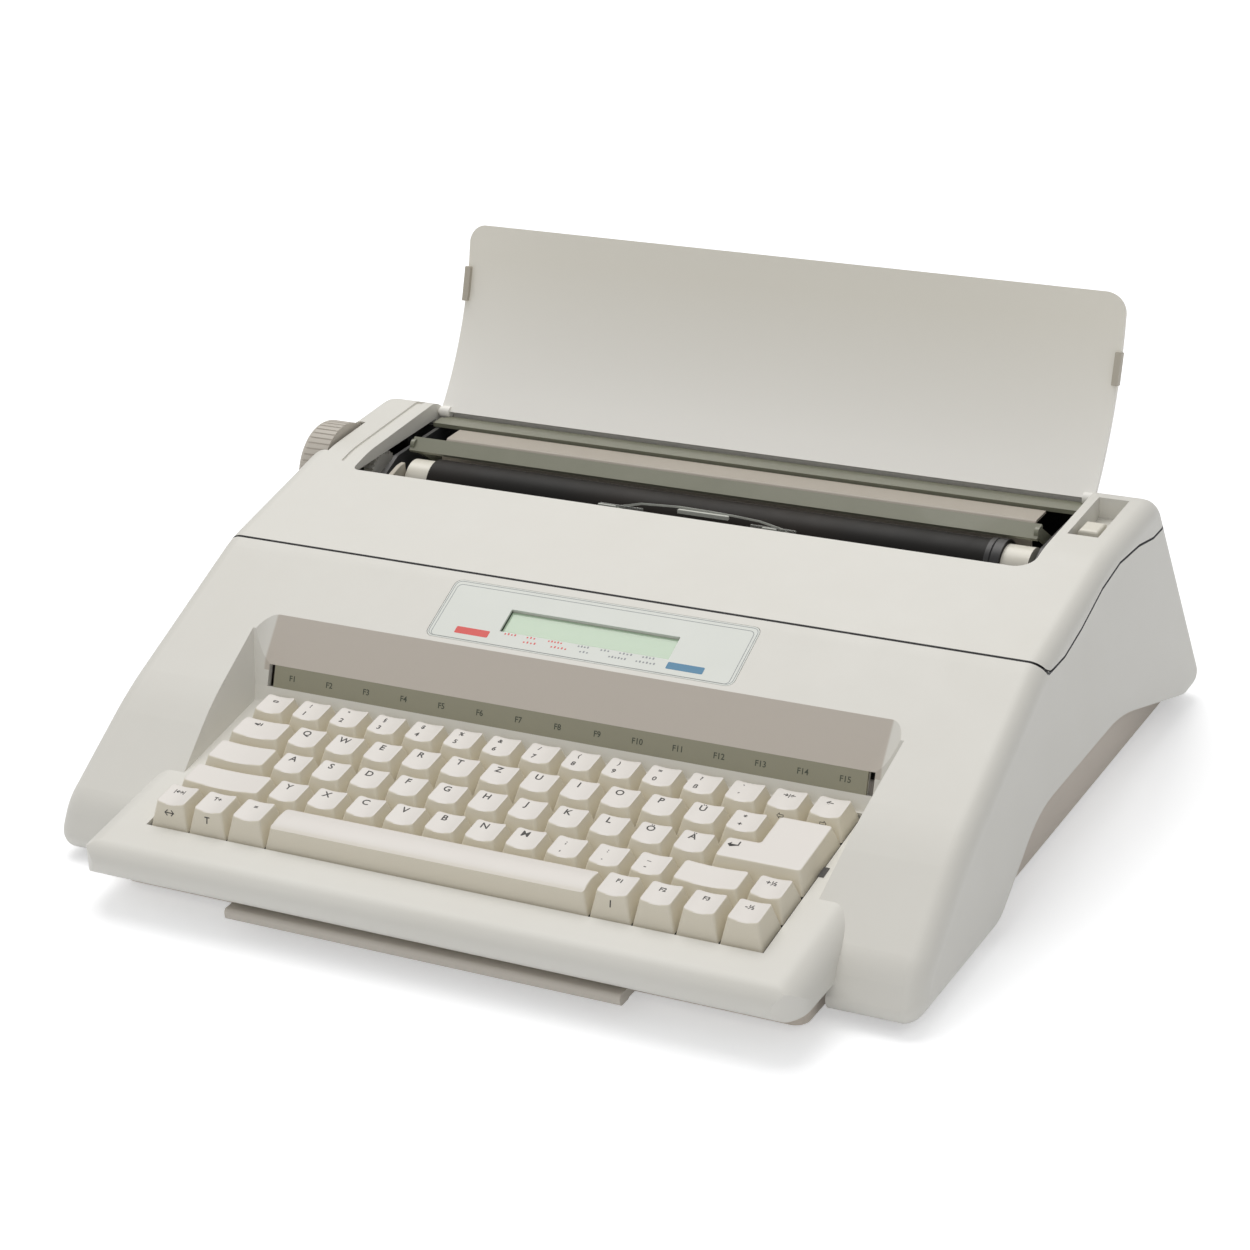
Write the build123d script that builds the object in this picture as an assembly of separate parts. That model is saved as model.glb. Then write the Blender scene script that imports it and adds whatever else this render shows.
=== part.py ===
from build123d import *

import math
import os

# Portable electronic typewriter with a hinged paper support and a small display.
# Millimetres. X runs to the right, Y to the back, Z up. The feet stand on Z = 0
# and the origin is below the middle of the machine.

# Fits and clearances
running_clearance = 0.05
fixed_clearance = 0.02
part_gap = 0.4
seam_gap = 0.5

# Case sides
foot_half_width = 203.5
side_lean = 0.045
case_wall = 2.8
case_edge_radius = 8.0
case_bottom_z = 4.0

# Construction blocks reach this far, clear of the whole machine
far = 260.0

# Case outline from the front foot up and over to the back
front_foot_y = -152.9
front_knee = (-141.8, 24.9)
front_knee_radius = 24.0
slope_break = (-93.0, 56.6)
slope_break_radius = 150.0
panel_slope_deg = 24.0
hood_front_y = -5.5
hood_crest = (72.0, 111.5)
hood_front_radius = 60.0
hood_crest_radius = 70.0
hood_back = (138.5, 114.4)
hood_back_radius = 13.0
rear_foot = (189.5, 4.0)
rear_foot_radius = 9.0

# Seam between the case and the hood, seen from the side
seam_front_run = 3.0
seam_front_radius = 8.0
seam_radius = 7.0
seam_points = ((16.0, 89.5), (36.0, 93.5), (62.0, 101.0), (84.0, 104.0), (108.0, 102.5), (126.0, 99.0))

# Arch cut in the foot of each side
arch_front_y = -83.0
arch_front_crown = (-20.0, 36.0)
arch_back_crown = (78.0, 36.0)
arch_back_y = 170.0
arch_front_radius = 60.0
arch_back_radius = 100.0

# Keyboard
key_pitch = 19.05
keyboard_slope_deg = 8.0
keyboard_front_y = -160.0
keyboard_front_z = 32.0
keyboard_columns = 15.0
keyboard_rows = 5
long_key_pitches = 3.0
key_gap = 0.7
key_skirt_depth = 1.6
key_side_taper = 2.5
key_front_taper = 4.9
key_back_taper = 0.9
key_height = 7.3
front_row_key_height = 9.5
front_row_front_taper = 4.1
key_wall = 1.4
key_stem_radius = 2.2
key_travel = 3.5
opening_margin = 0.9

# Keyboard floor under the keys
deck_top_n = -7.0
deck_thickness = 2.0
dome_sheet_top_n = -14.2
dome_sheet_thickness = 1.0
dome_height = 2.8
dome_outer_radius = 4.6
dome_inner_radius = 3.6
key_board_thickness = 1.6

# Keyboard tray and well
tray_half_width = 166.5
tray_front_y = -184.5
tray_nose_rounding = 0.68
tray_chin_rounding = 0.33
tray_bottom_z = 15.7
tray_roll_radius = 10.0
tray_corner_radius = 16.0
tray_floor_back_y = -166.0
tray_wall = 2.6
well_half_width = 157.5
well_side_lean_deg = 10.0
well_corner_radius = 11.0
well_ledge_v = 97.0
strip_bottom = (-60.8, 51.8)
strip_top = (-57.3, 61.0)
strip_half_width = 143.0
strip_thickness = 1.2
strip_slot_width = 3.0
well_top_y = -43.2

# Display panel
panel_half_width = 74.3
panel_front_y = -40.7
panel_back_y = -9.9
panel_thickness = 1.0
panel_corner_radius = 3.5
window_half_width = 41.0
window_front_y = -32.8
window_back_y = -20.9
window_depth = 1.6
glass_thickness = 1.4
display_board_thickness = 5.0
display_board_margin = 5.0

# Platen and its drive
platen_axis = (86.5, 93.0)
platen_radius = 12.0
platen_half_length = 141.2
platen_collar_length = 5.2
hub_radius = 10.8
left_hub_end_x = -153.5
right_hub_end_x = 159.0
platen_shaft_radius = 4.0
knob_radius = 23.5
knob_end_x = -206.0
knob_length = 15.0
knob_groove_count = 48
knob_groove_radius = 0.45
knob_pocket_clearance = 1.8
knob_pocket_wall = 2.0

# Gear train, teeth on a common module
gear_module = 0.8
platen_gear_teeth = 30
idler_gear_teeth = 24
motor_pinion_teeth = 12
gear_width = 5.0
gear_left_x = -176.0
idler_direction_deg = -100.0
pinion_direction_deg = -60.0
gear_pin_radius = 2.0

# Side frames
frame_inner_x = 162.0
frame_thickness = 2.0
frame_outline = (
    (2.0, 5.2, 0.0),
    (2.0, 44.0, 5.0),
    (40.0, 50.0, 8.0),
    (72.0, 99.0, 4.0),
    (86.0, 105.0, 5.0),
    (134.0, 105.0, 3.0),
    (136.0, 5.2, 0.0),
)

# Carriage and its rods
rod_radius = 4.0
front_rod = (12.0, 34.0)
back_rod = (54.0, 28.0)
carriage_rest_x = 3.5
carriage_half_width = 33.0
carriage_travel = 105.0
carriage_front_y = 3.0
carriage_back_y = 62.0
carriage_bottom_z = 20.0
carriage_top_z = 44.0

# Print wheel, hammer and ribbon
wheel_centre_z = 60.0
wheel_y = 68.8
wheel_thickness = 0.8
wheel_hub_radius = 11.0
wheel_tip_radius = 33.0
petal_count = 48
petal_width = 1.1
wheel_shaft_radius = 2.5
wheel_motor_radius = 17.0
wheel_motor_length = 20.0
hammer_radius = 3.0
hammer_length = 20.0
hammer_travel = 3.0
cassette_half_width = 31.0
cassette_front_y = 9.0
cassette_back_y = 36.0
cassette_bottom_z = 66.0
cassette_top_z = 88.0

# Card holder at the print line
card_half_width = 49.0
card_y = 70.6
card_thickness = 1.0
card_bottom_z = 86.0
card_top_z = 103.0
card_window_half_width = 27.0
card_window_depth = 12.0
card_arm_width = 5.0

# Carriage drive belt
belt_pulley_radius = 7.0
belt_thickness = 1.2
belt_width = 5.0
belt_y = 33.0
belt_z = 14.5
belt_end_x = 145.0
pulley_shaft_radius = 2.0

# Feed rollers and paper pan
feed_roller_radius = 5.5
feed_roller_length = 34.0
feed_roller_x = (-90.0, 0.0, 90.0)
feed_roller_direction_deg = -50.0
feed_roller_shaft_radius = 2.0
pan_thickness = 1.2
pan_wrap_deg = (-75.0, 42.0)
pan_lip = (124.0, 106.0)
pan_half_width = 150.0
pan_clear_of_platen = 7.5
pan_drop = 16.0

# Paper bail
bail_bar = (94.5, 108.25)
bail_bar_width = 7.6
bail_bar_thickness = 2.0
bail_bar_slope_deg = 38.0
bail_pivot = (114.0, 94.0)
bail_half_width = 158.5
bail_arm_thickness = 2.0
bail_arm_width = 5.0
bail_pin_radius = 2.0

# Paper support
support_hinge = (137.6, 108.6)
support_foot = (136.6, 109.2)
support_top = (177.3, 192.0)
support_sagitta = 7.0
support_thickness = 2.4
support_side_inset = 35.9
support_half_width = foot_half_width - support_side_inset
support_corner_radius = 9.0
support_pin_radius = 1.8
support_pin_length = 4.5
support_ear_radius = 2.7
support_ear_width = 5.0
support_trim = 0.3
hinge_strip_y = (125.6, 133.4)
hinge_strip_z = 107.2

# Hood opening and pockets
opening_front_y = 56.5
opening_back_y = 140.5
opening_side_clearance = 1.2
opening_left_radius = 3.0
opening_right_radius = 9.0
opening_back_radius = 2.0
opening_skirt = 2.0
opening_skirt_z = 106.0
support_lug_y = (133.5, 141.5)
support_lug_z = 104.6
support_lug_thickness = 5.0
lever_pocket_x = (173.0, 187.0)
lever_pocket_y = (89.0, 128.5)
lever_pocket_floor_z = 104.0
lever_pocket_wall = 1.5
hood_groove_x = 174.2
hood_groove_width = 4.0
hood_groove_depth = 0.9
hood_groove_y = (62.0, 134.0)

# Release lever
lever_pivot = (101.0, 84.0)
lever_x = 180.0
lever_width = 4.0
lever_tab_width = 9.0
lever_tab_depth = 11.0
lever_tab_z = (104.6, 111.8)
lever_tab_radius = 1.2
lever_stem_width = 6.0
lever_slot_front_room = 2.4
lever_slot_room = 0.8
lever_pin_radius = 2.0
lever_swing_deg = 8.0

# Hood hinge
hood_hinge = (147.6, 98.8)
hood_hinge_x = 110.0
hood_pin_radius = 1.3
hood_knuckle_radius = 2.9
hood_knuckle_length = 7.0
knuckle_gap = 0.3

# Base
base_floor_z = 2.5
base_floor = 2.5
base_side_inset = 12.5
base_half_width = foot_half_width - base_side_inset
base_wall = 2.4
base_front_y = -161.0
base_shoulder_y = -136.0
base_front_half_width = 160.0
base_back_y = 177.0
base_rim_z = 13.5
base_side_z = 42.0
base_side_y = (-96.0, 160.0)
foot_radius = 9.0
foot_recess = 1.0
foot_inset_x = 26.0
foot_inset_y = 24.0
rear_foot_inset_y = 35.0

# Carry handle
handle_half_width = 92.0
handle_front_y = -183.0
handle_bar = 8.0
handle_arm_width = 13.0
handle_arm_back_y = -108.0
handle_z = (8.3, 13.3)
handle_travel = 40.0

# Boards, supply and motors
board_thickness = 1.6
main_board_z = 10.0
main_board_x = (-150.0, 60.0)
main_board_y = (-70.0, 2.0)
chip_sizes = ((-110.0, -34.0, 40.0, 15.0), (-40.0, -34.0, 34.0, 15.0), (20.0, -34.0, 20.0, 20.0))
chip_height = 4.0
standoff_radius = 3.0
transformer_x = (84.0, 142.0)
transformer_y = (90.0, 138.0)
transformer_z = 46.0
inlet_x = (96.0, 122.0)
inlet_z = (22.0, 40.0)
inlet_depth = 20.0
inlet_pin_radius = 1.2
inlet_pin_spacing = 8.6
switch_x = (130.0, 148.0)
switch_radius = 8.0
switch_depth = 5.5
switch_pin_radius = 1.5
switch_pin_length = 2.0
module_right_x = 152.0

# Fasteners
screw_radius = 1.5
screw_head_radius = 3.2
screw_head_height = 2.0
screw_length = 12.0
boss_radius = 4.2
boss_inset_x = (13.0, 19.0)
boss_y = (-112.0, 166.0)
boss_places = [(base_half_width - inset, y) for inset, y in zip(boss_inset_x, boss_y)]

os.makedirs("parts", exist_ok=True)


def save(shape, node):
    """Write one node."""
    export_step(shape, f"parts/{node}.step")


def group(pieces):
    """Several separate solids under one node."""
    return Compound(children=list(pieces))


# Geometry helpers
def outline(corners):
    """Flat face from (a, b, radius) corners, each corner rounded by its radius."""
    sketch = Polygon(*[(corner[0], corner[1]) for corner in corners], align=None)
    for a, b, radius in corners:
        if radius > 0:
            vertex = sketch.vertices().sort_by_distance((a, b, 0))[0]
            sketch = fillet(vertex, radius)
    return sketch


def prism_x(sketch, low, high):
    """Extrude a (y, z) sketch from X = low to X = high."""
    plane = Plane(origin=(low, 0, 0), x_dir=(0, 1, 0), z_dir=(1, 0, 0))
    return extrude(plane * sketch, amount=high - low, dir=(1, 0, 0))


def prism_y(sketch, low, high):
    """Extrude an (x, z) sketch from Y = low to Y = high."""
    plane = Plane(origin=(0, low, 0), x_dir=(1, 0, 0), z_dir=(0, -1, 0))
    return extrude(plane * sketch, amount=high - low, dir=(0, 1, 0))


def prism_z(sketch, low, high):
    """Extrude an (x, y) sketch from Z = low to Z = high."""
    return extrude(Pos(0, 0, low) * sketch, amount=high - low, dir=(0, 0, 1))


def block(x, y, z):
    """Box from three (low, high) pairs."""
    size = (x[1] - x[0], y[1] - y[0], z[1] - z[0])
    centre = ((x[0] + x[1]) / 2, (y[0] + y[1]) / 2, (z[0] + z[1]) / 2)
    return Pos(*centre) * Box(*size)


def bar_x(place, radius, low, high):
    """Cylinder along X through (y, z)."""
    plane = Plane(origin=(low, place[0], place[1]), x_dir=(0, 1, 0), z_dir=(1, 0, 0))
    return extrude(plane * Circle(radius), amount=high - low)


def bar_y(x, z, radius, low, high):
    """Cylinder along Y through (x, z)."""
    plane = Plane(origin=(x, low, z), x_dir=(1, 0, 0), z_dir=(0, 1, 0))
    return extrude(plane * Circle(radius), amount=high - low)


def bar_z(x, y, radius, low, high):
    """Cylinder along Z through (x, y)."""
    return Pos(x, y, low) * extrude(Circle(radius), amount=high - low)


def polar(centre, radius, degrees):
    """Point at a distance and direction from a (y, z) centre."""
    angle = math.radians(degrees)
    return (centre[0] + radius * math.cos(angle), centre[1] + radius * math.sin(angle))


# The deck slope and the keyboard's own tilted frame
def panel_line(y):
    """Height of the straight display slope at y."""
    rise = math.tan(math.radians(panel_slope_deg))
    return slope_break[1] + (y - slope_break[0]) * rise


keyboard_plane = Plane(
    origin=(0, keyboard_front_y, keyboard_front_z),
    x_dir=(1, 0, 0),
    z_dir=(0, -math.sin(math.radians(keyboard_slope_deg)), math.cos(math.radians(keyboard_slope_deg))),
)


def deck_point(v, n):
    """(y, z) of a point v up the keyboard slope and n above it."""
    slope = math.radians(keyboard_slope_deg)
    y = keyboard_front_y + v * math.cos(slope) - n * math.sin(slope)
    z = keyboard_front_z + v * math.sin(slope) + n * math.cos(slope)
    return (y, z)


def deck_block(x, v, n):
    """Box in the keyboard's tilted frame."""
    return keyboard_plane.location * block(x, v, n)


# Case envelope
def case_corners():
    """Outline of case and hood together, seen from the right."""
    return [
        (front_foot_y, case_bottom_z, 5.0),
        (*front_knee, front_knee_radius),
        (*slope_break, slope_break_radius),
        (hood_front_y, panel_line(hood_front_y), hood_front_radius),
        (*hood_crest, hood_crest_radius),
        (*hood_back, hood_back_radius),
        (*rear_foot, rear_foot_radius),
    ]


def case_profile(inset):
    """The case outline as a face, shrunk by inset."""
    face = outline(case_corners())
    return offset(face, amount=-inset) if inset else face


def case_slab(inset):
    """Everything between the two leaning side planes, shrunk by inset."""
    low = foot_half_width - inset
    high = foot_half_width - side_lean * far - inset
    face = outline([(-low, 0, 0), (low, 0, 0), (high, far, 0), (-high, far, 0)])
    return prism_y(face, -far, far)


def case_solid(inset):
    """Solid case and hood, shrunk by inset."""
    body = prism_x(case_profile(inset), -foot_half_width, foot_half_width) & case_slab(inset)
    radius = case_edge_radius - inset
    if radius <= 0.5:
        return body
    edges = [
        edge
        for edge in body.edges()
        if abs(edge.center().X) > foot_half_width - 20 and edge.center().Z > case_bottom_z + 1.5
    ]
    edges = [edge for edge in edges if abs(edge.bounding_box().size.X) < 15]
    return fillet(edges, radius)


def seam_line(lift):
    """Corners of the hood seam from front to back, raised by lift."""
    start = hood_front_y + lift
    corners = [(start, panel_line(hood_front_y), 0.0)]
    corners.append((start + seam_front_run, seam_points[0][1] + lift, seam_front_radius))
    corners += [(y, z + lift, seam_radius) for y, z in seam_points]
    corners.append((far, seam_points[-1][1] + lift, 0.0))
    return corners


def below_seam():
    """Everything under the line where the hood meets the case."""
    front = [(-far, -far, 0.0), (-far, far, 0.0), (hood_front_y, far, 0.0)]
    return prism_x(outline(front + seam_line(0.0) + [(far, -far, 0.0)]), -far, far)


def above_seam():
    """Everything over the hood seam, one seam gap clear of the case."""
    front = [(hood_front_y + seam_gap, far, 0.0)]
    return prism_x(outline(front + seam_line(seam_gap) + [(far, far, 0.0)]), -far, far)


def arch_cut():
    """The long low arch through both sides."""
    corners = [
        (arch_front_y - 30.0, -16.0, 0.0),
        (arch_front_y, case_bottom_z - 4.0, 0.0),
        (*arch_front_crown, arch_front_radius),
        (*arch_back_crown, arch_back_radius),
        (arch_back_y + 10.0, case_bottom_z - 1.0, 0.0),
        (arch_back_y + 30.0, -16.0, 0.0),
    ]
    face = outline(corners)
    inner = base_half_width + base_wall
    outer = foot_half_width + 20.0
    return prism_x(face, -outer, -inner) + prism_x(face, inner, outer)


def well_cut(grow):
    """The space over the keyboard, grown by a wall thickness all round."""
    slope = math.tan(math.radians(keyboard_slope_deg))
    floor_y = tray_front_y - 40.0
    floor_front = (floor_y, keyboard_front_z + (floor_y - keyboard_front_y) * slope)
    floor_back = deck_point(well_ledge_v, 0.0)
    well_top = (well_top_y, panel_line(well_top_y))
    beyond = (2 * well_top[0] - strip_top[0], 2 * well_top[1] - strip_top[1])
    corners = [
        (*floor_front, 0.0),
        (*floor_back, 2.0),
        (*strip_bottom, 0.0),
        (*strip_top, 0.0),
        (*beyond, 0.0),
        (floor_front[0], beyond[1], 0.0),
    ]
    side = outline(corners)
    if grow:
        side = offset(side, amount=grow)
    lean = math.tan(math.radians(well_side_lean_deg))
    half = well_half_width + grow
    low = (half - lean * 60.0, 20.0)
    high = (half + lean * 60.0, 140.0)
    corners = [(-low[0], low[1], 0), (low[0], low[1], 0), (high[0], high[1], 0), (-high[0], high[1], 0)]
    front = outline(corners)
    cut = prism_x(side, -tray_half_width - 40, tray_half_width + 40) & prism_y(front, -300.0, 0.0)
    if grow:
        return cut
    corner_edges = [
        edge
        for edge in cut.edges()
        if abs(edge.center().X) > 100
        and strip_top[0] < edge.center().Y < well_top[0] + 20
        and edge.bounding_box().size.Y > 3
        and edge.bounding_box().size.Z > 3
        and edge.bounding_box().size.X < 20
    ]
    return fillet(corner_edges, well_corner_radius)


# Keyboard tray in front of the well
def tray_face(inset):
    """Outline of the tray from nose to back, seen from the right."""
    slope = math.tan(math.radians(keyboard_slope_deg))
    nose_z = keyboard_front_z + (tray_front_y - keyboard_front_y) * slope
    back_y = slope_break[0]
    back_z = keyboard_front_z + (back_y - keyboard_front_y) * slope
    height = nose_z - tray_bottom_z
    corners = [
        (tray_front_y, nose_z, tray_nose_rounding * height),
        (back_y, back_z, 0.0),
        (back_y, tray_bottom_z, 0.0),
        (tray_front_y + 2.0, tray_bottom_z, tray_chin_rounding * height),
    ]
    face = outline(corners)
    return offset(face, amount=-inset) if inset else face


def tray_solid(inset):
    """Solid tray with soft ends, shrunk by inset."""
    half = tray_half_width - inset
    front = tray_front_y + inset
    corner = tray_corner_radius - inset
    back = slope_break[0]
    plan = outline([(-half, front, corner), (half, front, corner), (half, back, 0.0), (-half, back, 0.0)])
    roll = tray_roll_radius - inset
    ends = outline([(-half, -far, 0.0), (half, -far, 0.0), (half, -inset, roll), (-half, -inset, roll)])
    body = prism_x(tray_face(inset), -half, half) & prism_z(plan, 0.0, far)
    return body & keyboard_plane.location * prism_y(ends, -far, far)


def opening_cut():
    """The hole in the tray and well floor that the keys stand in."""
    half = keyboard_columns * key_pitch / 2 + opening_margin
    depth = keyboard_rows * key_pitch + opening_margin
    return deck_block((-half, half), (-opening_margin, depth), (-40.0, 12.0))


def panel_frame():
    """The display slope's own frame, with its origin on the slope at mid panel."""
    slope = math.radians(panel_slope_deg)
    middle = (panel_front_y + panel_back_y) / 2
    return Plane(
        origin=(0, middle, panel_line(middle)),
        x_dir=(1, 0, 0),
        z_dir=(0, -math.sin(slope), math.cos(slope)),
    )


def panel_span(front_y, back_y):
    """Distances up the display slope from the panel's middle."""
    middle = (panel_front_y + panel_back_y) / 2
    run = math.cos(math.radians(panel_slope_deg))
    return ((front_y - middle) / run, (back_y - middle) / run)


def panel_block(half_width, span, depth, top):
    """Box on the display slope."""
    return panel_frame().location * block((-half_width, half_width), span, (-depth, top))


def panel_plate_shape(grow):
    """The overlay's rounded rectangle, grown by a clearance."""
    low, high = panel_span(panel_front_y, panel_back_y)
    size = (2 * (panel_half_width + grow), high - low + 2 * grow)
    return RectangleRounded(*size, panel_corner_radius + grow)


def knob_space(grow):
    """Round space for the knob in the left side of the case."""
    radius = knob_radius + knob_pocket_clearance + grow
    inner = knob_end_x + knob_length + knob_pocket_clearance + grow
    return bar_x(platen_axis, radius, -foot_half_width - 20, inner)


def knob_liner():
    """The pocket wall around and behind the knob."""
    liner = knob_space(knob_pocket_wall) - knob_space(0.0)
    return liner & case_solid(0.5)


def rear_block(x, z, depth):
    """Box through the sloping rear wall, cut to the case's outer face."""
    solid = prism_x(case_profile(0.0), *x)
    return block(x, (0.0, far), z) & (solid - Pos(0, -depth, 0) * solid)


def support_posts():
    """Screw bosses that come down from the case to the base floor."""
    posts = Part()
    bottom = base_floor_z + base_floor + fixed_clearance
    for x, y in boss_places:
        for side in (-1, 1):
            posts += bar_z(side * x, y, boss_radius, bottom, 95.0)
    return posts & case_solid(case_wall / 2)


def boss_bores(radius, low, high):
    """Cylinders on the screw places, for bores and screws."""
    return [
        bar_z(side * x, y, radius, low, high)
        for x, y in boss_places
        for side in (-1, 1)
    ]


def rear_knuckles(owner):
    """Hinge barrels at the back seam. The case owns the middle one of each hinge."""
    step = hood_knuckle_length + knuckle_gap
    barrels = Part()
    for side in (-1, 1):
        centre = side * hood_hinge_x
        places = (0,) if owner == "case" else (-1, 1)
        for place in places:
            low = centre + place * step - hood_knuckle_length / 2
            barrels += bar_x(hood_hinge, hood_knuckle_radius, low, low + hood_knuckle_length)
    return barrels


def knuckle_space(owner):
    """Room for the other part's hinge barrels."""
    step = hood_knuckle_length + knuckle_gap
    space = Part()
    for side in (-1, 1):
        centre = side * hood_hinge_x
        places = (-1, 1) if owner == "case" else (0,)
        for place in places:
            low = centre + place * step - hood_knuckle_length / 2 - knuckle_gap
            high = low + hood_knuckle_length + 2 * knuckle_gap
            space += bar_x(hood_hinge, hood_knuckle_radius + part_gap, low, high)
    return space


def hinge_bores(radius):
    """Bores for the hood's hinge pins."""
    reach = 1.5 * hood_knuckle_length + 3 * knuckle_gap
    bores = Part()
    for side in (-1, 1):
        centre = side * hood_hinge_x
        bores += bar_x(hood_hinge, radius, centre - reach, centre + reach)
    return bores


# Case parts
def lower_housing():
    """Case shell: cheeks, keyboard tray, well and display slope."""
    outer = (case_solid(0.0) & below_seam()) - well_cut(0.0)
    outer += tray_solid(0.0) - well_cut(0.0)
    inner = case_solid(case_wall) - well_cut(case_wall)
    inner += block(
        (-foot_half_width + 3 * case_wall, foot_half_width - 3 * case_wall),
        (front_foot_y + 2 * case_wall, rear_foot[0] - 12.0),
        (-10.0, case_bottom_z + case_wall + 3.0),
    ) & case_slab(case_wall)
    tray_space = tray_solid(tray_wall)
    tray_space += block(
        (-tray_half_width + tray_wall, tray_half_width - tray_wall),
        (tray_floor_back_y, slope_break[0]),
        (-10.0, tray_bottom_z + tray_wall + 1.0),
    )
    inner += tray_space - well_cut(tray_wall)
    shell = outer - inner
    shell -= opening_cut()
    shell -= arch_cut()
    shell += support_posts()
    shell += knob_liner() & below_seam()
    shell -= knob_space(0.0)
    shell -= bar_x(platen_axis, platen_shaft_radius + part_gap, -foot_half_width, -frame_inner_x)
    shell += rear_knuckles("case")
    shell -= knuckle_space("case")
    shell -= hinge_bores(hood_pin_radius)
    for bore in boss_bores(screw_radius + fixed_clearance, 0.0, base_floor_z + base_floor + screw_length):
        shell -= bore
    shell -= display_recess()
    shell -= strip_recess()
    shell -= rear_block((inlet_x[0], module_right_x), inlet_z, 30.0)
    return shell


def display_recess():
    """Seat for the overlay, the window and the display module."""
    depth = panel_thickness
    seat = extrude(panel_frame() * panel_plate_shape(part_gap / 2), amount=-depth)
    seat += extrude(panel_frame() * panel_plate_shape(part_gap / 2), amount=10.0)
    span = panel_span(window_front_y, window_back_y)
    seat += panel_block(window_half_width, span, 3 * case_wall, 1.0)
    return seat


def strip_frame():
    """The label strip's own frame on the well wall."""
    rise = (strip_top[0] - strip_bottom[0], strip_top[1] - strip_bottom[1])
    length = math.hypot(*rise)
    middle = ((strip_top[0] + strip_bottom[0]) / 2, (strip_top[1] + strip_bottom[1]) / 2)
    normal = (0, -rise[1] / length, rise[0] / length)
    return Plane(origin=(0, *middle), x_dir=(1, 0, 0), z_dir=normal), length


def strip_recess():
    """Seat for the label strip, with a slot at each end."""
    plane, length = strip_frame()
    half = strip_half_width + fixed_clearance
    seat = block((-half, half), (-length / 2, length / 2), (-strip_thickness, 1.0))
    for side in (-1, 1):
        middle = side * (half + strip_slot_width / 2)
        slot_x = (middle - strip_slot_width / 2, middle + strip_slot_width / 2)
        seat += block(slot_x, (-length / 2, length / 2), (-2 * case_wall, 1.0))
    return plane.location * seat


def function_label_strip():
    """Long label strip behind the number keys."""
    plane, length = strip_frame()
    half_length = length / 2 - fixed_clearance
    strip = block(
        (-strip_half_width, strip_half_width),
        (-half_length, half_length),
        (-strip_thickness + fixed_clearance, 0.0),
    )
    return plane.location * strip


def display_panel():
    """Overlay plate round the display window."""
    plate = extrude(panel_frame() * panel_plate_shape(0.0), amount=-panel_thickness + fixed_clearance)
    span = panel_span(window_front_y, window_back_y)
    return plate - panel_block(window_half_width, span, 3 * case_wall, 5.0)


def display_module():
    """Display glass in its board, hung under the slope."""
    low, high = panel_span(window_front_y, window_back_y)
    margin = part_gap / 2
    inside = (low + margin, high - margin)
    glass = panel_block(window_half_width - margin, inside, case_wall + 2.0, -window_depth)
    grow = display_board_margin
    top = -case_wall - fixed_clearance
    outside = (low - grow, high + grow)
    board = panel_block(window_half_width + grow, outside, display_board_thickness - top, top)
    return glass + board


def top_hood():
    """Cover over the carriage with the platen opening."""
    shell = (case_solid(0.0) & above_seam()) - case_solid(case_wall)
    plan = opening_plan(0.0)
    shell -= prism_z(plan, 60.0, 200.0)
    skirt = prism_z(opening_plan(opening_skirt), opening_skirt_z, 200.0) & case_solid(case_wall / 2)
    skirt -= prism_z(plan, 60.0, 200.0)
    shell += skirt
    shell += support_lugs()
    shell += lever_pocket()
    shell -= lever_pocket_space()
    groove = block((-hood_groove_x - hood_groove_width, -hood_groove_x), hood_groove_y, (80.0, 200.0))
    shell -= groove - case_solid(hood_groove_depth)
    pin_room = support_pin_radius + running_clearance
    half = support_half_width + support_pin_length + part_gap
    shell -= bar_x(support_hinge, pin_room, -half, half)
    shell += knob_liner() & above_seam()
    shell -= knob_space(0.0)
    shell += rear_knuckles("hood")
    shell -= knuckle_space("hood")
    shell -= hinge_bores(hood_pin_radius + running_clearance)
    return shell


def opening_plan(grow):
    """Platen opening seen from above, grown by a wall."""
    half = support_half_width + opening_side_clearance + grow
    front = opening_front_y - grow
    back = opening_back_y + grow
    left_radius = opening_left_radius + grow
    right_radius = opening_right_radius + grow
    rear_radius = opening_back_radius + grow
    front_corners = [(-half, front, left_radius), (half, front, right_radius)]
    return outline(front_corners + [(half, back, rear_radius), (-half, back, rear_radius)])


def support_lugs():
    """Thick places in the opening's sides that hold the paper support's pins."""
    near = support_half_width + opening_side_clearance
    lugs = Part()
    for side in (-1, 1):
        x = sorted((side * near, side * (near + support_lug_thickness)))
        lugs += block(x, support_lug_y, (support_lug_z, 130.0))
    return lugs & case_solid(case_wall / 2)


def lever_pocket():
    """Outside of the release lever's pocket."""
    wall = lever_pocket_wall
    x = (lever_pocket_x[0] - wall, lever_pocket_x[1] + wall)
    y = (lever_pocket_y[0] - wall, lever_pocket_y[1] + wall)
    return block(x, y, (lever_pocket_floor_z - wall, 130.0)) & case_solid(case_wall / 2)


def lever_pocket_space():
    """Hollow of the pocket and the slot that the lever swings in."""
    pocket = block(lever_pocket_x, lever_pocket_y, (lever_pocket_floor_z, 200.0))
    reach = (lever_tab_z[1] - lever_pivot[1]) * math.sin(math.radians(lever_swing_deg))
    half = lever_tab_width / 2 + lever_slot_room
    front = lever_pivot[0] - lever_tab_depth / 2 - lever_slot_front_room
    back = lever_pivot[0] + lever_tab_depth / 2 + reach + lever_slot_room
    return pocket + block((lever_x - half, lever_x + half), (front, back), (80.0, 130.0))


def hood_hinge_pins():
    """Two steel pins at the back seam."""
    reach = 1.5 * hood_knuckle_length + 2 * knuckle_gap
    radius = hood_pin_radius - fixed_clearance
    centres = (-hood_hinge_x, hood_hinge_x)
    return group(bar_x(hood_hinge, radius, centre - reach, centre + reach) for centre in centres)


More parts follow.
